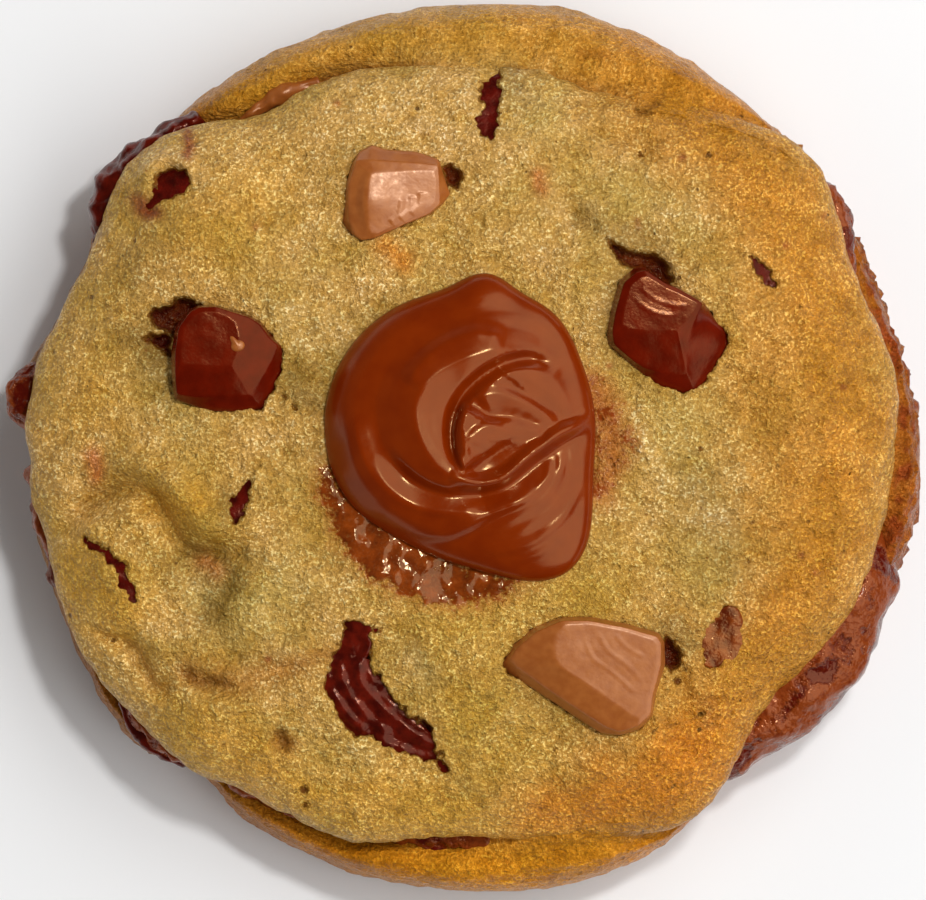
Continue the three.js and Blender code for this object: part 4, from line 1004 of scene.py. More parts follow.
def dough_tint(x, y, base):
    """Colours over the dough: the base, then each stain with an uneven edge."""
    shift_x = 1.6 * blotchy(flat_points(x, y), 4.0) + 0.5 * blotchy(flat_points(x, y), 1.3)
    shift_y = 1.6 * blotchy(flat_points(x, y, 50), 4.0) + 0.5 * blotchy(flat_points(x, y, 50), 1.3)
    colours = np.array(base, float)
    for name, path, reach, strength in STAINS:
        points = np.array(path + [(path[-1][0] + 0.01, path[-1][1])], float)
        soft = min(1.0, reach / 3)
        near = close_to(points, x, y, 3 * reach + 2)
        distance, _, _ = nearest_on_path(
            points, (x + soft * shift_x)[near], (y + soft * shift_y)[near])
        weight = (strength * np.exp(-((distance / reach) ** 2)))[:, None]
        colours[near] = mix(colours[near], COLOURS[name], weight)
    return colours


NOT_TORN = -1.0             # lowest value of "pit", which the dough's material reads
NO_FILM = -4.0              # lowest value of "film"


def bare_dough(count):
    """Values for dough that is neither torn nor covered."""
    return {"pit": np.full(count, NOT_TORN), "film": np.full(count, NO_FILM)}


def ring_count(radius, spacing):
    return max(8, round(2 * np.pi * radius / spacing))


def ring_angles(count):
    return 360 * np.arange(count) / count


# ------------------------------------------------------------------ the upper round

TOP_SPACING = 0.34
RIM_SPACING = 0.6
HIDDEN_SPACING = 2.5
HIDDEN_RADIUS = 40          # nearer the middle than this, the underside lies on the filling


def dome_shares():
    """Shares of the outline for the top's rings, evenly spaced along its curve."""
    fine = np.linspace(1, 0, 6001)
    radius = UPPER_OUTLINE[0] * fine
    height = mix(UPPER_WIDEST_HEIGHT, CROWN_HEIGHT, np.sqrt(1 - fine**CROWN_POWER))
    spacing = mix(TOP_SPACING, RIM_SPACING, smooth_step(0.9, 0.97, fine))
    steps = np.hypot(np.diff(radius), np.diff(height)) / spacing[1:]
    rings = np.r_[0, np.cumsum(steps)]
    wanted = np.arange(0, int(rings[-1]))
    return np.interp(wanted, rings, fine)


UPPER_FLOOR = SEAM_HEIGHT + GAP


def upper_rings():
    """Rings up the upper round's side and over its top, and how many lie below the top."""

    def radius_at(degrees):
        return outline_radius(UPPER_OUTLINE, degrees)

    rim_count = ring_count(UPPER_OUTLINE[0], RIM_SPACING)
    rings = [np.array([[0.0, 0.0, UPPER_FLOOR]])]
    for share in (0.3, 0.6, 0.85):
        angles = ring_angles(ring_count(share * UPPER_OUTLINE[0], HIDDEN_SPACING))
        rings.append(polar(angles, share * radius_at(angles), UPPER_FLOOR))
    for turn in np.radians([90, 78, 66, 54, 42, 30, 20, 10]):
        angles = ring_angles(rim_count)
        rings.append(polar(
            angles,
            radius_at(angles) - UPPER_UNDERCUT * (1 - np.cos(turn)),
            mix(UPPER_WIDEST_HEIGHT, UPPER_FLOOR, np.sin(turn)),
        ))
    side_rings = len(rings)
    for share in dome_shares():
        spacing = mix(TOP_SPACING, RIM_SPACING, smooth_step(0.9, 0.97, share))
        count = ring_count(share * UPPER_OUTLINE[0], spacing)
        angles = ring_angles(count if share < 0.97 else rim_count)
        rings.append(polar(angles, share * radius_at(angles), 0.0))
    rings.append(np.array([[0.0, 0.0, 0.0]]))
    return rings, side_rings


def upper_dough():
    rings, side_rings = upper_rings()
    first_top = sum(len(ring) for ring in rings[:side_rings])
    vertices, faces = ring_mesh(rings)
    x, y = vertices[first_top:, 0].copy(), vertices[first_top:, 1].copy()
    vertices[first_top:, 2] = dough_top(x, y)
    share = np.ones(len(vertices))
    share[first_top:] = share_of(UPPER_OUTLINE, x, y)
    lean = smooth_step(0.9, 1.0, share)[:, None]
    direction = mix(UP, outward(vertices), lean)
    visible = np.hypot(vertices[:, 0], vertices[:, 1]) > HIDDEN_RADIUS
    visible[first_top:] = True
    vertices += direction * (dough_relief(vertices) * visible)[:, None]
    depth, inside = torn_dough(x, y)
    cover = film_cover(x, y)
    bubbles = np.maximum(0, lumpy(flat_points(x, y), 1.7)) + 0.25
    vertices[first_top:, 2] += (
        strokes_at(FINE_STROKES, x, y) - np.maximum(depth, seat_depth(x, y))
        + 0.55 * bubbles * smooth_step(-0.2, 1.0, cover))
    colours = dough_tint(vertices[:, 0], vertices[:, 1], beige(len(vertices)))
    up_side = (vertices[:, 2] - UPPER_FLOOR) / (UPPER_WIDEST_HEIGHT - UPPER_FLOOR)
    side = smooth_step(1.0, -0.2, up_side)
    side[first_top:] = 0
    colours = mix(colours, COLOURS["brown"], 0.55 * side[:, None])
    values = bare_dough(len(vertices))
    values["pit"][first_top:] = np.clip(inside, NOT_TORN, 1)
    values["film"][first_top:] = np.clip(cover, NO_FILM, 1)
    return (within_box(vertices), faces), colours * DOUGH_TONE, values


# ------------------------------------------------------------------ the lower round

# The lower round's browning round its rim: angle and colour.
RIM_COLOURS = [
    (-180, (136, 88, 38)), (-150, (142, 88, 30)), (-120, (164, 100, 24)), (-90, (198, 130, 22)),
    (-65, (200, 126, 24)), (-45, (164, 90, 24)), (-20, (140, 70, 20)), (0, (144, 76, 24)),
    (30, (146, 76, 24)), (48, (184, 120, 44)), (70, (190, 134, 56)), (95, (190, 142, 66)),
    (120, (188, 134, 52)), (135, (166, 106, 46)), (160, (136, 88, 38)), (180, (136, 88, 38)),
]
LOWER_SPACING = 0.55
UNDERSIDE_SPACING = 1.3

# How far the groove between the rounds is closed, round the seam: angle and share.
CLOSED_SEAM = [
    (-180, 0.0), (-91, 0.0), (-82, 0.7), (-72, 1.0), (-58, 1.0), (-52, 0.2), (-49, 0.0),
    (-12, 0.0), (-6, 0.45), (20, 0.45), (34, 0.3), (40, 1.0), (63, 1.0), (68, 0.65), (79, 0.65),
    (87, 0.95), (94, 0.8), (100, 0.35), (106, 0.1), (109, 0.0), (180, 0.0),
]
SEAM_OVERLAP = 1.8          # how far a closed seam runs over the upper round's edge
CLOSED_RISE = 1.8           # how much higher the lip is where the seam is closed
UNDERSIDE_RADIUS = 46       # about the flat underside's, which its points are spaced for


def closed_at(degrees):
    """How far the seam is closed, at angles from -180 to 360."""
    return np.interp(np.where(degrees > 180, degrees - 360, degrees), *np.array(CLOSED_SEAM).T)


def lower_rings():
    """Rings from the lower round's underside round its rim into the seam.

    Each point's share of the way into the seam comes with them.
    """
    angles = ring_angles(ring_count(LOWER_OUTLINE[0], LOWER_SPACING))
    outer = outline_radius(LOWER_OUTLINE, angles)
    upper = outline_radius(UPPER_OUTLINE, angles)
    seam = np.minimum(upper, outer - 0.6)
    lip = SEAM_HEIGHT + LIP_RISE * smooth_step(LIP_FIRST_WIDTH, LIP_FULL_WIDTH, outer - seam)
    width = np.maximum(0.8, (outer - seam) / 2)
    closed = closed_at(angles)
    lip += CLOSED_RISE * closed
    rings = [np.array([[0.0, 0.0, 0.0]])]
    for share in np.arange(0.05, 1, 0.045):
        few = ring_angles(ring_count(share * UNDERSIDE_RADIUS, UNDERSIDE_SPACING))
        inner = share * (outline_radius(LOWER_OUTLINE, few) - FLOOR_INSET)
        rings.append(polar(few, inner, 0.0))
    for turn in np.radians(np.linspace(90, 0, 13)):
        rings.append(polar(
            angles,
            outer - FLOOR_INSET * (1 - np.cos(turn)) ** 1.15,
            LOWER_WIDEST_HEIGHT * (1 - np.sin(turn)),
        ))
    for turn in np.radians(np.linspace(7, 90, 18)):
        rings.append(polar(
            angles,
            outer - width * (1 - np.cos(turn)),
            mix(LOWER_WIDEST_HEIGHT, lip, np.sin(turn)),
        ))
    before_seam = sum(len(ring) for ring in rings)
    top_radius = outer - width
    upper_share = 1 - SEAM_OVERLAP / upper
    upper_height = mix(UPPER_WIDEST_HEIGHT, CROWN_HEIGHT, np.sqrt(1 - upper_share**CROWN_POWER))
    groove_radius = mix(seam - 1.4, upper - SEAM_OVERLAP, closed)
    groove_height = mix(SEAM_HEIGHT, upper_height + 0.1, closed)
    shares = np.linspace(0.08, 1, 12)
    for share in shares:
        fall = mix(smooth_step(0, 1, share), share**1.5, closed)
        rings.append(polar(
            angles, mix(top_radius, groove_radius, share), mix(lip, groove_height, fall)))
    rings.append(polar(angles, groove_radius - 3, SEAM_HEIGHT))
    rings.append(np.array([[0.0, 0.0, SEAM_HEIGHT]]))
    in_seam = np.zeros(sum(len(ring) for ring in rings))
    in_seam[before_seam:-1] = np.repeat(np.r_[shares, 1], len(angles))
    in_seam[-1] = 1
    return rings, in_seam


def lower_dough():
    rings, in_seam = lower_rings()
    vertices, faces = ring_mesh(rings)
    radius = np.hypot(vertices[:, 0], vertices[:, 1])
    z = vertices[:, 2].copy()
    degrees = np.degrees(np.arctan2(vertices[:, 1], vertices[:, 0]))
    top = smooth_step(LOWER_WIDEST_HEIGHT, 13.5, z)[:, None]
    direction = mix(outward(vertices), UP, 0.8 * top)
    on_floor = z < 0.6
    crumbly = smooth_step(-25, -8, degrees) * smooth_step(50, 40, degrees)
    crumbs = np.maximum(0, ragged.layered(vertices + 60, 1.8, 2)) * 1.2 * crumbly
    relief = dough_relief(vertices + 7) + crumbs * smooth_step(0.5, 0.0, in_seam)
    relief *= smooth_step(42, 45, radius) * np.where(on_floor, 0, 1)
    vertices += direction * relief[:, None]
    pits = 0.5 * smooth_step(0.25, 0.7, ragged.layered(vertices * (1, 1, 0), 3.0, 3))
    vertices[:, 2] += np.where(on_floor, pits, 0)
    vertices[:, 2] = np.maximum(0, vertices[:, 2])

    table = np.array([[angle, *srgb(*colour)] for angle, colour in RIM_COLOURS])
    base = np.column_stack([np.interp(degrees, table[:, 0], table[:, k]) for k in (1, 2, 3)])
    x, y = vertices[:, 0], vertices[:, 1]
    closed = closed_at(degrees)
    colours = mix(base, dough_tint(x, y, base), 0.35)
    upper_tint = dough_tint(x, y, beige(len(x)))
    colours = mix(colours, upper_tint, (closed * smooth_step(0.1, 1, in_seam))[:, None])
    burnt = crumbly * smooth_step(0.05, 0.4, ragged.layered(vertices + 90, 2.6, 2))
    bare_seam = (1 - closed) * smooth_step(0.45, 0.8, in_seam)
    for name, weight in (("rim_brown", 0.6 * smooth_step(6, 0, z)),
                         ("red_brown", 0.8 * burnt * smooth_step(0.6, 0.2, in_seam)),
                         ("red_brown", 0.85 * bare_seam)):
        colours = mix(colours, COLOURS[name], weight[:, None])
    return (within_box(vertices), faces), colours * DOUGH_TONE, bare_dough(len(vertices))


# ------------------------------------------------------------------ the filling


def tube_end(ring, before, half_width):
    """Two smaller and smaller rings that round off a tube beyond its last ring."""
    middle = ring.mean(axis=0)
    step = middle - before.mean(axis=0)
    step *= 0.3 * half_width / np.linalg.norm(step)
    return [mix(middle, ring, 0.8) + step, mix(middle, ring, 0.5) + step * 1.4]


def bulge(path, sides, steps, rough, seed_shift=0.0, reach=1.0):
    """A ragged closed tube along the rim, from rows of angle, radius, height and half sizes."""
    rows = path if path[0][0] > path[-1][0] else path[::-1]
    rows = smooth_rows(rows, steps)
    turn = np.radians(ring_angles(sides))
    layers = []
    for degrees, radius, z, half_width, half_height in rows:
        across = half_width * np.cos(turn)
        layers.append(polar(degrees, radius + across, z + half_height * np.sin(turn)))
    start = tube_end(layers[0], layers[1], rows[0][3])[::-1]
    end = tube_end(layers[-1], layers[-2], rows[-1][3])
    layers = start + layers + end
    middles = np.vstack([np.tile(layer.mean(axis=0), (sides, 1)) for layer in layers])
    flat = np.vstack(layers)
    away = flat - middles
    away /= np.maximum(1e-6, np.linalg.norm(away, axis=1, keepdims=True))
    push = rough * ragged.layered(flat + seed_shift, 2.4 * reach, 3, 0.45)
    flat = flat + away * push[:, None]
    return grid_mesh(list(within_box(flat).reshape(len(layers), sides, 3)))


# Slivers of filling that stick out at the left: angle, spread and push.
SLIVERS = [(-176.5, 1.2, 1.1), (-170, 2.4, 1.0), (-162, 2.0, 1.3)]
FILLING_SPACING = 0.6
FILLING_SINK = 0.4          # how far the filling's floor lies in the lower round's groove


def filling():
    half = FILLING_THICKNESS / 2
    middle = SEAM_HEIGHT + GAP + half - FILLING_SINK
    angles = ring_angles(ring_count(FILLING_OUTLINE[0], FILLING_SPACING))
    radius = outline_radius((FILLING_OUTLINE[0], FILLING_OUTLINE[1] + SLIVERS), angles)
    rings = [np.array([[0.0, 0.0, middle - half]])]
    for turn in np.radians([-90, -70, -50, -30, -12, 6, 24, 45, 68, 90]):
        rings.append(polar(
            angles, radius - FILLING_RIM * (1 - np.cos(turn)), middle + half * np.sin(turn)))
    rings.append(np.array([[0.0, 0.0, middle + half]]))
    vertices, faces = ring_mesh(rings)
    push = 0.55 * ragged.layered(vertices + 3, 2.2, 3, 0.6)
    vertices = vertices + outward(vertices) * push[:, None]
    leak = bulge(LEAK, sides=64, steps=18, rough=0.7, seed_shift=5.0, reach=2.2)
    return joined([(vertices, faces), leak])


# ------------------------------------------------------------------ chocolate in the top


def densified(ring, steps, rounding):
    """A closed ring with more points, its corners a little rounded."""
    following = np.roll(ring, -1, axis=0)
    shares = (np.arange(steps) / steps)[None, :, None]
    points = mix(ring[:, None, :], following[:, None, :], shares).reshape(-1, ring.shape[1])
    for _ in range(rounding):
        points = 0.5 * points + 0.25 * (np.roll(points, 1, axis=0) + np.roll(points, -1, axis=0))
    return points


CORNER_STEPS = 14           # points from corner to corner of a chunk's rings
CORNER_ROUNDING = 5         # rounds of smoothing that soften the corners
EDGE_ROUNDING = 3           # and those that soften the edges between the faces

# How steeply the milk chunks' tops fall along x and y, and their soft lumps.
TOP_LEANS = {"milk_chunk_1": (0.15, 0.07), "milk_chunk_2": (0.13, 0.0)}
TOP_LUMPS = {"milk_chunk_1": [(-2.3, -1.0, 2.4, 0.34), (-1.3, 1.3, 0.8, 0.03)]}

# Plain shapes pressed into the flat faces, in each chunk's own frame: path, widths and lift.
FACE_RIBS = {
    "milk_chunk_1": [
        ([(-0.6, -3.8), (0.6, -2.6), (0.9, -0.8)], 0.4, 0.7, 0.07),
        ([(0.6, -3.4), (1.7, -2.2), (2.0, -0.4)], 0.4, 0.7, 0.07),
        ([(1.9, -2.8), (2.9, -1.6), (3.1, 0.0)], 0.4, 0.7, 0.07),
    ],
    "dark_chunk_1": [
        ([(-4.6, 4.2), (-2.6, 4.8), (-1.0, 3.4), (-1.8, 1.6), (-3.8, 1.4)], 0.6, 0.6, 0.02),
    ],
    "dark_chunk_2": [
        ([(-3.6, 5.4), (-2.0, 4.0), (0.2, 3.2), (2.2, 3.0)], 0.35, 0.35, 0.02),
        ([(-4.4, 4.4), (-3.0, 2.8), (-0.8, 2.0), (1.2, 2.0)], 0.35, 0.35, 0.02),
    ],
    "milk_chunk_2": [
        ([(-1.0, 4.4), (0.2, 1.8), (2.6, 0.0), (5.4, -2.6)], 0.35, 0.35, 0.025),
        ([(0.8, 4.8), (2.0, 2.6), (4.2, 1.0), (6.2, -1.2)], 0.35, 0.35, 0.025),
        ([(2.8, 4.8), (4.0, 3.2), (6.4, 1.8)], 0.35, 0.35, 0.025),
    ],
}


def on_chunk(name, points):
    """Moves points from a chunk's own frame to its place in the dough."""
    chunk = CHUNKS[name]
    ax, ay = np.radians([chunk["tilt_x"], chunk["tilt_y"]])
    turn_x = np.array([[1, 0, 0], [0, np.cos(ax), -np.sin(ax)], [0, np.sin(ax), np.cos(ax)]])
    turn_y = np.array([[np.cos(ay), 0, np.sin(ay)], [0, 1, 0], [-np.sin(ay), 0, np.cos(ay)]])
    height = top_height(chunk["x"], chunk["y"]) - chunk["sunk"]
    return points @ (turn_x @ turn_y).T + (chunk["x"], chunk["y"], height)


def chunk_mesh(name):
    """A chunk with bevelled, slightly rounded edges, in its place in the dough."""

    def level(ring, z):
        return np.column_stack([ring, np.broadcast_to(z, len(ring))])

    chunk = CHUNKS[name]
    corners = np.array(chunk["corners"])
    rise = chunk["rise"]
    rim, edge, face = corners[:, 0:2], corners[:, 2:4], corners[:, 4:6]
    shoulder = np.maximum(
        CHUNK_LOWEST_SHOULDER, rise - CHUNK_BEVEL_SLOPE * np.hypot(*(edge - face).T))
    # each ring, and how many layers lead from it to the one above
    stack = [
        (level(CHUNK_FLOOR_SHARE * rim, -chunk["depth"]), 5),
        (level(rim, 0.0), 7),
        (level(mix(rim, edge, CHUNK_SIDE_SHARE), CHUNK_SIDE_SHARE * shoulder), 4),
        (level(edge, shoulder), 14),
        (level(face, rise), 34),
    ]
    rings = [densified(ring, CORNER_STEPS, CORNER_ROUNDING) for ring, _ in stack]
    middle = np.append(face.mean(axis=0), rise)
    rings.append(mix(middle, rings[-1], 0.02))
    layers = []
    for (ring, after), (_, steps) in zip(zip(rings, rings[1:]), stack):
        for k in range(steps):
            layers.append(mix(ring, after, k / steps))
    layers.append(rings[-1])
    layers = np.array(layers)
    for _ in range(EDGE_ROUNDING):
        layers[1:-1] = 0.5 * layers[1:-1] + 0.25 * (layers[:-2] + layers[2:])
    shape = layers.shape
    flat = layers.reshape(-1, 3)
    on_face = smooth_step(rise - 0.5, rise - 0.1, flat[:, 2])
    flat[:, 2] += on_face * (
        folds_at(FACE_RIBS[name], flat[:, 0], flat[:, 1])
        + lumps_at(TOP_LUMPS.get(name, ()), flat[:, 0], flat[:, 1]))
    lean = flat[:, :2] @ np.array(TOP_LEANS.get(name, (0.0, 0.0)))
    flat[:, 2] -= lean * np.clip(flat[:, 2] / rise, 0, 1)
    wobble = 0.05 * lumpy(flat + 31, 3.0) + 0.015 * ragged(flat + 11, 1.2)
    away = flat - (0, 0, -1.0)
    away /= np.linalg.norm(away, axis=1, keepdims=True)
    flat = on_chunk(name, flat + away * wobble[:, None])
    return grid_mesh(list(flat.reshape(shape)))


def droplet_mesh(name, x, y, radius, height):
    """A flat round drop on a chunk's face, with a short tail."""
    turn = np.radians(ring_angles(40))
    reach = radius * (1 + 0.12 * np.sin(2 * turn + 1) + 1.1 * np.exp(-((turn - 2.2) / 0.35) ** 2))
    layers = []
    for share in (1.0, 0.99, 0.95, 0.87, 0.76, 0.62, 0.46, 0.28, 0.1):
        up = CHUNKS[name]["rise"] - 0.1 + height * np.sqrt(1 - share**2)
        layers.append(np.column_stack([
            x + share * reach * np.cos(turn), y + share * reach * np.sin(turn),
            np.full(len(turn), up)]))
    layers.insert(0, layers[0] - (0, 0, 0.3))
    shape = np.array(layers).shape
    return grid_mesh(list(on_chunk(name, np.array(layers).reshape(-1, 3)).reshape(shape)))


# Folds in the melted chunk's top: path, left and right width, lift.
MELTED_FOLDS = [
    ([(-14.8, -25.0), (-14.0, -28.5), (-11.6, -31.6), (-8.4, -34.2)], 1.2, 0.7, 0.5),
    ([(-12.8, -24.4), (-12.2, -27.6), (-9.8, -30.6), (-6.4, -33.4), (-3.4, -35.6)], 0.8, 1.1, 0.6),
    ([(-10.6, -22.6), (-11.8, -25.2), (-10.4, -28.2)], 0.9, 0.7, 0.4),
    ([(-15.8, -28.2), (-13.9, -31.6), (-11.4, -33.8)], 0.9, 0.7, 0.35),
    ([(-11.0, -33.9), (-7.6, -35.6), (-4.6, -36.6)], 0.6, 0.8, 0.4),
]
MELTED_ARM = [(-13.6, -20.9, 0.5), (-11.6, -21.2, 0.7), (-10.2, -21.5, 0.6), (-9.2, -21.5, 0.3)]

SUNK_MORE = 0.35            # melted chocolate lies this much lower than in the solids


def strip_mesh(path, depth, recess, grow, rough, folds=(), spacing=0.3):
    """A half sunk strip along a path, wider than its hollow in the dough by grow."""
    coarse = smooth_rows(path, 8)
    for end, before in ((0, 1), (-1, -2)):
        onward = coarse[end, :2] - coarse[before, :2]
        coarse[end, :2] += grow * onward / np.linalg.norm(onward)
    lengths = np.r_[0, np.cumsum(np.hypot(*np.diff(coarse[:, :2], axis=0).T))]
    count = max(8, round(lengths[-1] / spacing))
    at = np.linspace(0, lengths[-1], count)
    rows = np.column_stack([np.interp(at, lengths, coarse[:, k]) for k in range(3)])
    widest = rows[:, 2].max() + grow
    across_count = max(9, 2 * round(widest / spacing) + 1)
    along = np.gradient(rows[:, :2], axis=0)
    along /= np.linalg.norm(along, axis=1, keepdims=True)
    normal = np.column_stack([-along[:, 1], along[:, 0]])
    ends = np.minimum(at, lengths[-1] - at)
    layers = []
    for row, away, end in zip(rows, normal, ends):
        width = (row[2] + grow) * np.sqrt(np.clip(0.12 + end / (row[2] + grow), 0, 1))
        shares = np.linspace(1, -1, across_count)
        top_x, top_y = (row[:2] + away * (shares * width)[:, None]).T
        surface = dough_top(top_x, top_y) - recess
        bed = surface - depth * np.sqrt(np.maximum(0.02, 1 - shares**2))
        top = flat_points(top_x, top_y, surface - 0.35 * shares**4)
        under = flat_points(top_x, top_y, bed)[::-1][1:-1]
        layers.append(np.vstack([top, under]))
    flat = np.vstack(layers)
    bumps = rough * lumpy.layered(flat * (1, 1, 0) + 13, 2.2, 2)
    is_top = np.tile(np.r_[np.ones(across_count), np.zeros(across_count - 2)], len(layers))
    flat[:, 2] += is_top * (bumps + folds_at(folds, flat[:, 0], flat[:, 1]))
    return grid_mesh(list(flat.reshape(len(layers), -1, 3)[:, ::-1]))


# ------------------------------------------------------------------ the dollop of spread

SPREAD_SPACING = 0.24

# Folds left in the dollop by a knife: path, width to the left and to the right, lift.
SWIRL_FOLDS = [
    # the rope that runs in from the right edge, and the groove under it
    ([(17.6, 4.6), (14.6, 3.3), (11.7, 2.1), (9.5, 0.5), (7.4, -1.1), (5.7, -2.6), (4.1, -3.6),
      (2.0, -3.9), (0.0, -3.5), (-1.7, -2.9)], 1.1, 1.1, 1.5),
    ([(13.8, 1.9), (9.6, -0.9), (7.3, -2.7), (5.4, -4.3), (3.0, -5.2), (0.4, -5.5), (-2.4, -5.3),
      (-5.0, -4.3), (-7.6, -2.3), (-9.4, 0.4)], 2.0, 0.9, -1.2),
    # the broad crescent round the eye, and the wall inside it
    ([(2.2, -3.9), (-0.2, -3.6), (-1.8, -2.9), (-3.4, -1.5), (-4.7, 0.5), (-5.5, 2.9), (-5.6, 5.3),
      (-4.6, 7.5), (-2.8, 9.3), (-0.1, 10.8), (2.9, 11.7), (5.8, 12.0), (9.2, 11.4)],
     4.6, 5.0, 1.7),
    ([(11.3, 9.6), (8.5, 10.8), (5.8, 10.6), (3.7, 9.7), (1.8, 8.4), (0.2, 6.8), (-0.8, 5.2),
      (-1.3, 3.4), (-1.3, 1.2), (-0.8, -0.8), (0.2, -2.3)], 1.1, 0.9, -1.5),
    # the thin lip of the eye and the tongues that fan out from it
    ([(0.6, 5.6), (-0.4, 3.4), (-0.7, 1.2), (-0.3, -0.9), (0.7, -2.6)], 8.0, 0.6, 1.5),
    ([(9.7, 1.7), (8.4, 2.2), (6.8, 2.6), (5.0, 3.0), (3.1, 2.7), (1.5, 1.7), (0.7, 0.3)],
     2.6, 0.9, 0.5),
    ([(9.4, 2.5), (6.8, 3.9), (4.6, 4.3), (2.7, 4.1), (1.4, 3.6)], 0.7, 0.7, -0.18),
    ([(11.4, 2.8), (9.3, 4.5), (7.1, 5.7), (5.0, 6.5), (3.1, 6.5), (1.7, 5.7)], 2.4, 1.0, 0.5),
    ([(12.2, 3.4), (10.1, 4.9), (8.0, 6.4), (5.8, 7.5), (4.2, 8.2)], 0.7, 0.7, -0.22),
    ([(8.6, 0.6), (6.4, 0.9), (4.4, 1.4), (2.9, 1.2)], 0.5, 0.5, 0.12),
    ([(4.9, 8.6), (5.6, 9.4), (7.3, 9.9), (9.6, 9.3), (11.3, 7.7), (12.6, 5.2), (13.4, 3.6)],
     2.2, 3.0, 0.3),
    ([(12.0, 4.4), (10.2, 6.0), (8.5, 7.2), (6.6, 8.3)], 0.5, 0.5, -0.12),
    # the outer turns of the swirl
    ([(12.2, 11.4), (10.1, 13.2), (7.4, 14.3), (4.7, 14.6), (1.6, 14.0)], 1.2, 1.4, -0.15),
    ([(-6.7, 7.7), (-5.0, 10.2), (-2.3, 12.4), (1.6, 13.9), (5.2, 13.4)], 1.2, 2.0, 0.5),
    ([(-13.0, 5.3), (-12.6, 1.3), (-11.2, -2.3), (-8.7, -5.2), (-6.5, -6.6), (-3.3, -7.4),
      (0.2, -7.1), (2.6, -6.1)], 2.4, 2.6, 0.9),
    ([(-11.0, -6.4), (-9.5, -8.2), (-5.7, -9.9), (-2.2, -10.1), (0.5, -9.1), (2.9, -7.6),
      (5.8, -6.3), (9.0, -4.8)], 2.0, 0.8, 0.6),
    # thin marks along the right edge
    ([(13.6, 1.6), (14.2, -1.4), (13.8, -4.6), (12.0, -8.1), (8.5, -10.9)], 0.6, 0.6, 0.14),
    ([(12.7, 0.9), (13.1, -2.2), (12.0, -5.4), (9.3, -8.1), (5.3, -10.4)], 0.7, 0.5, 0.16),
    ([(11.6, 0.1), (11.5, -2.7), (10.1, -5.4), (7.2, -7.5), (3.1, -9.6)], 0.7, 0.5, 0.16),
    ([(10.2, -1.1), (9.9, -3.4), (8.0, -5.6), (5.2, -7.2)], 0.6, 0.5, 0.12),
    ([(2.0, -12.4), (7.5, -11.4), (11.6, -8.4), (14.2, -4.2)], 1.0, 0.6, 0.2),
    ([(5.5, -13.6), (10.0, -11.8), (13.8, -7.6)], 1.0, 0.5, 0.16),
]
SWIRL_LUMPS = [(3.0, -0.9, 2.1, -0.5), (8.6, 8.3, 2.4, 0.3)]
# Faint knife marks along the crescent and along the right edge: the paths that they follow.
KNIFE_PATHS = [SWIRL_FOLDS[2][0], SWIRL_FOLDS[-4][0]]
BODY_POWERS = (3.2, 2.3)    # roundness of the body on its left and on its lower right
BODY_STEEPEST = -35         # the angle at which the body's roundness is that of the lower right
BODY_LEAN = 0.05            # how much the top falls for each millimetre to the right
KNIFE_MARK = 0.02           # height of the knife marks


def dollop_height(x, y, share, floor):
    dx, dy = x - DOLLOP_CENTRE[0], y - DOLLOP_CENTRE[1]
    toward = 0.5 + 0.5 * np.cos(np.arctan2(dy, dx) - np.radians(BODY_STEEPEST))
    body = np.sqrt(np.maximum(0, 1 - share ** mix(*BODY_POWERS, toward)))
    fade = smooth_step(1, 0.8, share)
    shape = folds_at(SWIRL_FOLDS, x, y) + lumps_at(SWIRL_LUMPS, x, y) - BODY_LEAN * dx
    marks = 0.0
    nearest = np.full(len(x), np.inf)
    for path in KNIFE_PATHS:
        distance, along, side = nearest_on_path(smooth_rows(path, 6), x, y)
        lines = lumpy(flat_points(side * distance / 0.8, 6 * along, 2.0), 1.0)
        marks = np.where(distance < nearest, lines, marks)
        nearest = np.minimum(nearest, distance)
    shape = shape + KNIFE_MARK * marks
    base = floor + DOLLOP_SINK + DOLLOP_HEIGHT * body * mix(0.82, 1, 1 - share)
    return base + fade * shape


def dollop():
    centre_x, centre_y = DOLLOP_CENTRE
    floor = top_height(centre_x, centre_y) - DOLLOP_SINK
    size = DOLLOP_OUTLINE[0]
    rim_count = ring_count(size, SPREAD_SPACING)

    def ring_at(share, count, z=0.0):
        angles = ring_angles(count)
        ring = polar(angles, share * outline_radius(DOLLOP_OUTLINE, angles), z)
        return ring + (centre_x, centre_y, 0)

    rings = [np.array([[centre_x, centre_y, floor]])]
    rings.append(ring_at(0.93, rim_count, floor))
    for share, rise in ((0.975, 0.35), (0.995, 0.7), (1.0, 1.0)):
        rings.append(ring_at(share, rim_count, floor + rise * DOLLOP_SINK))
    sides = len(rings)
    for share in (0.999, 0.996, 0.992, 0.986, 0.978, 0.968, 0.957):
        rings.append(ring_at(share, rim_count))
    steps = round(0.95 * size / SPREAD_SPACING)
    shares = [0.945 * k / steps for k in range(steps, 0, -1)]
    for share in shares:
        rings.append(ring_at(share, ring_count(share * size, SPREAD_SPACING)))
    rings.append(np.array([[centre_x, centre_y, 0.0]]))
    first = sum(len(ring) for ring in rings[:sides])
    vertices, faces = ring_mesh(rings)
    x, y = vertices[first:, 0], vertices[first:, 1]
    share = share_of(DOLLOP_OUTLINE, x - centre_x, y - centre_y)
    top = dollop_height(x, y, np.minimum(1, share), floor)
    seat = floor + DOLLOP_SINK
    ceiling = cad_box[1][2] / MM - 0.05
    lowering = min(1, (ceiling - seat) / (top.max() - seat))
    vertices[first:, 2] = seat + lowering * (top - seat)
    return vertices, faces


# ------------------------------------------------------------------ putting it together

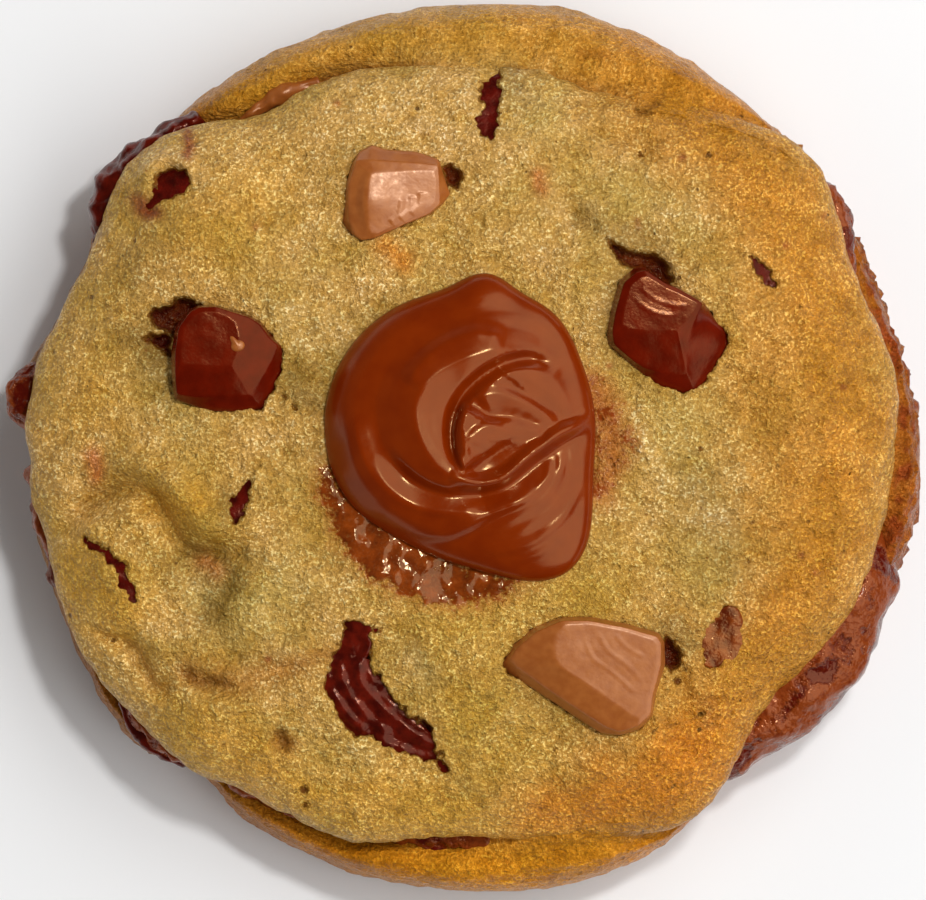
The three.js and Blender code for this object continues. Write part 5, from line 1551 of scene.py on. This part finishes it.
WARM = (1.0, 0.64, 0.27)
# the number after the name sets how strong the painted glint flecks are in the dough's colour
dough = dough_material("baked_dough", 0.85, sheen=(1.0, 0.80, 0.45), shine=0.5)
rim_dough = dough_material("browned_dough", 0.5, sheen=(1.0, 0.60, 0.22), shine=0.25)
filling_look = filling_material()
milk = chocolate_material(
    "milk_chocolate", (164, 92, 37), (152, 80, 28), 0.33, sheen=(1.0, 0.68, 0.46), shine=0.7,
    waves_size=1.1, ior=1.6)
buried_milk = chocolate_material(
    "buried_milk_chocolate", (138, 62, 18), (88, 26, 6), 0.16, sheen=WARM, shine=0.8, bump=0.4,
    waves_size=1.8)
dark = chocolate_material(
    "dark_chocolate", (100, 17, 2), (84, 11, 1), 0.2, sheen=(1.0, 0.46, 0.18), shine=0.33,
    bump=0.06, waves_size=2.4, coat=0.03)
melted = chocolate_material(
    "melted_chocolate", (96, 19, 7), (62, 7, 3), 0.19, sheen=(1.0, 0.46, 0.28), shine=0.34,
    bump=0.16, coat=0.08)
spread = chocolate_material(
    "chocolate_spread", (127, 40, 1), (119, 34, 0), 0.2, sheen=WARM, shine=0.52, bump=0.008,
    waves_size=3.0)
bits = chocolate_material(
    "melted_bits", (92, 16, 8), (56, 7, 4), 0.26, sheen=(1.0, 0.42, 0.25), shine=0.2, bump=0.25,
    coat=0.03)

mesh, colours, values = upper_dough()
make_piece("upper_dough_baked", mesh, dough, ["upper_dough"], colours, values)
mesh, colours, values = lower_dough()
make_piece("lower_dough_baked", mesh, rim_dough, ["lower_dough"], colours, values)
make_piece("filling_crusted", filling(), filling_look, ["filling"])
make_piece("dollop_swirled", dollop(), spread, ["spread_dollop"])

for name in CHUNKS:
    look, slot = (milk, "milk_chocolate") if "milk" in name else (dark, "dark_chocolate")
    make_piece(name + "_bevelled", chunk_mesh(name), look, [name])
droplet = droplet_mesh("dark_chunk_1", x=1.25, y=1.7, radius=0.75, height=0.4)
make_piece("milk_droplet", droplet, milk)

STRIP_GROW = 0.9            # how much wider a strip is than its hollow
STRIP_ROUGH = 0.2           # height of the lumps in its top
BURIED_RISE = 0.1           # the buried milk chunk lies this much higher than in the solids

for name, (depth, recess, path) in MELTED_PIECES.items():
    look, slot, folds = bits, "dark_chocolate", ()
    recess += -BURIED_RISE if "milk" in name else SUNK_MORE
    if name == "melted_chunk":
        look, folds = melted, MELTED_FOLDS
    elif "milk" in name:
        look, slot = buried_milk, "milk_chocolate"
    mesh = strip_mesh(path, depth, recess, STRIP_GROW, STRIP_ROUGH, folds)
    if name == "melted_chunk":
        arm = strip_mesh(MELTED_ARM, depth=1.4, recess=0.75, grow=0.5, rough=0.1)
        mesh = joined([mesh, arm])
    make_piece(name + "_folds", mesh, look, [name])

# The pieces along the seam: material, slot and roughness.
SEAM_LOOKS = {
    "edge_chunk_left": (filling_look, "baked_filling", 0.6),
    "edge_chunk_upper_left": (melted, "baked_filling", 0.8),
    "crease_sliver": (milk, "milk_chocolate", 0.6),
    "melted_pool_bottom": (melted, "dark_chocolate", 0.6),
    "melted_pool_lower_left": (melted, "dark_chocolate", 0.6),
}
for shift, (name, (look, slot, rough)) in enumerate(SEAM_LOOKS.items()):
    mesh = bulge(
        SEAM_PIECES[name], sides=40, steps=14, rough=rough, seed_shift=10.0 * shift, reach=1.4)
    make_piece(name + "_rough", mesh, look, [name])


# ------------------------------------------------------------------ floor, light and camera

FRAME_WIDTH = 111.12        # width of the view at the cookie
LENS = 600.0
SENSOR = 36.0
VIEW_LEVEL = 14.0           # height that the frame's width is measured at
FLOOR_HALF = 1.5            # half the floor's side, in metres
FLOOR_DROP = 0.0002         # keeps the floor clear of the cookie's underside
WORLD_BRIGHTNESS = 0.07


def floor():
    data = bpy.data.meshes.new("floor")
    corners = [(x * FLOOR_HALF, y * FLOOR_HALF, 0) for x, y in ((-1, -1), (1, -1), (1, 1), (-1, 1))]
    data.from_pydata(corners, [], [(0, 1, 2, 3)])
    r = Recipe("floor")
    r.set("Base Color", (0.9, 0.9, 0.9))
    r.set("Roughness", 0.9)
    data.materials.append(r.material)
    made = bpy.data.objects.new("floor", data)
    made.location.z = -FLOOR_DROP
    bpy.context.scene.collection.objects.link(made)


def lamp(name, azimuth, zenith, distance, size, brightness, mirrored=True):
    """A soft light aimed at the cookie. Azimuth 0 is +X and 90 is +Y.

    The size is how tall and how wide it looks from the cookie, in metres. A lamp that isn't
    mirrored only lights the cookie and doesn't show in its gloss.
    """
    data = bpy.data.lights.new(name, "AREA")
    data.shape = "RECTANGLE"
    data.size, data.size_y = size
    data.energy = brightness * np.pi * size[0] * size[1]
    made = bpy.data.objects.new(name, data)
    level, turn = np.radians([zenith, azimuth])
    place = distance * np.array([
        np.sin(level) * np.cos(turn), np.sin(level) * np.sin(turn), np.cos(level)])
    made.location = place
    made.rotation_mode = "XYZ"
    made.rotation_euler = (0, level, turn)
    made.visible_glossy = mirrored
    bpy.context.scene.collection.objects.link(made)


def camera():
    data = bpy.data.cameras.new("camera")
    data.lens = LENS
    data.sensor_width = SENSOR
    made = bpy.data.objects.new("camera", data)
    made.location = (0, 0, (FRAME_WIDTH / SENSOR * LENS + VIEW_LEVEL) * MM)
    bpy.context.scene.collection.objects.link(made)
    bpy.context.scene.camera = made


def studio():
    world = bpy.data.worlds.new("studio")
    world.use_nodes = True
    background = world.node_tree.nodes["Background"]
    background.inputs["Color"].default_value = (1.0, 1.0, 1.0, 1.0)
    background.inputs["Strength"].default_value = WORLD_BRIGHTNESS
    bpy.context.scene.world = world


floor()
lamp("key", azimuth=50, zenith=20, distance=0.9, size=(0.08, 0.08), brightness=148.0)
lamp("window", azimuth=4, zenith=38, distance=0.95, size=(0.85, 2.0), brightness=2.1)
lamp("fill", azimuth=185, zenith=66, distance=1.0, size=(0.9, 2.4), brightness=0.55,
     mirrored=False)
studio()
bpy.context.scene.view_settings.view_transform = "Standard"
camera()
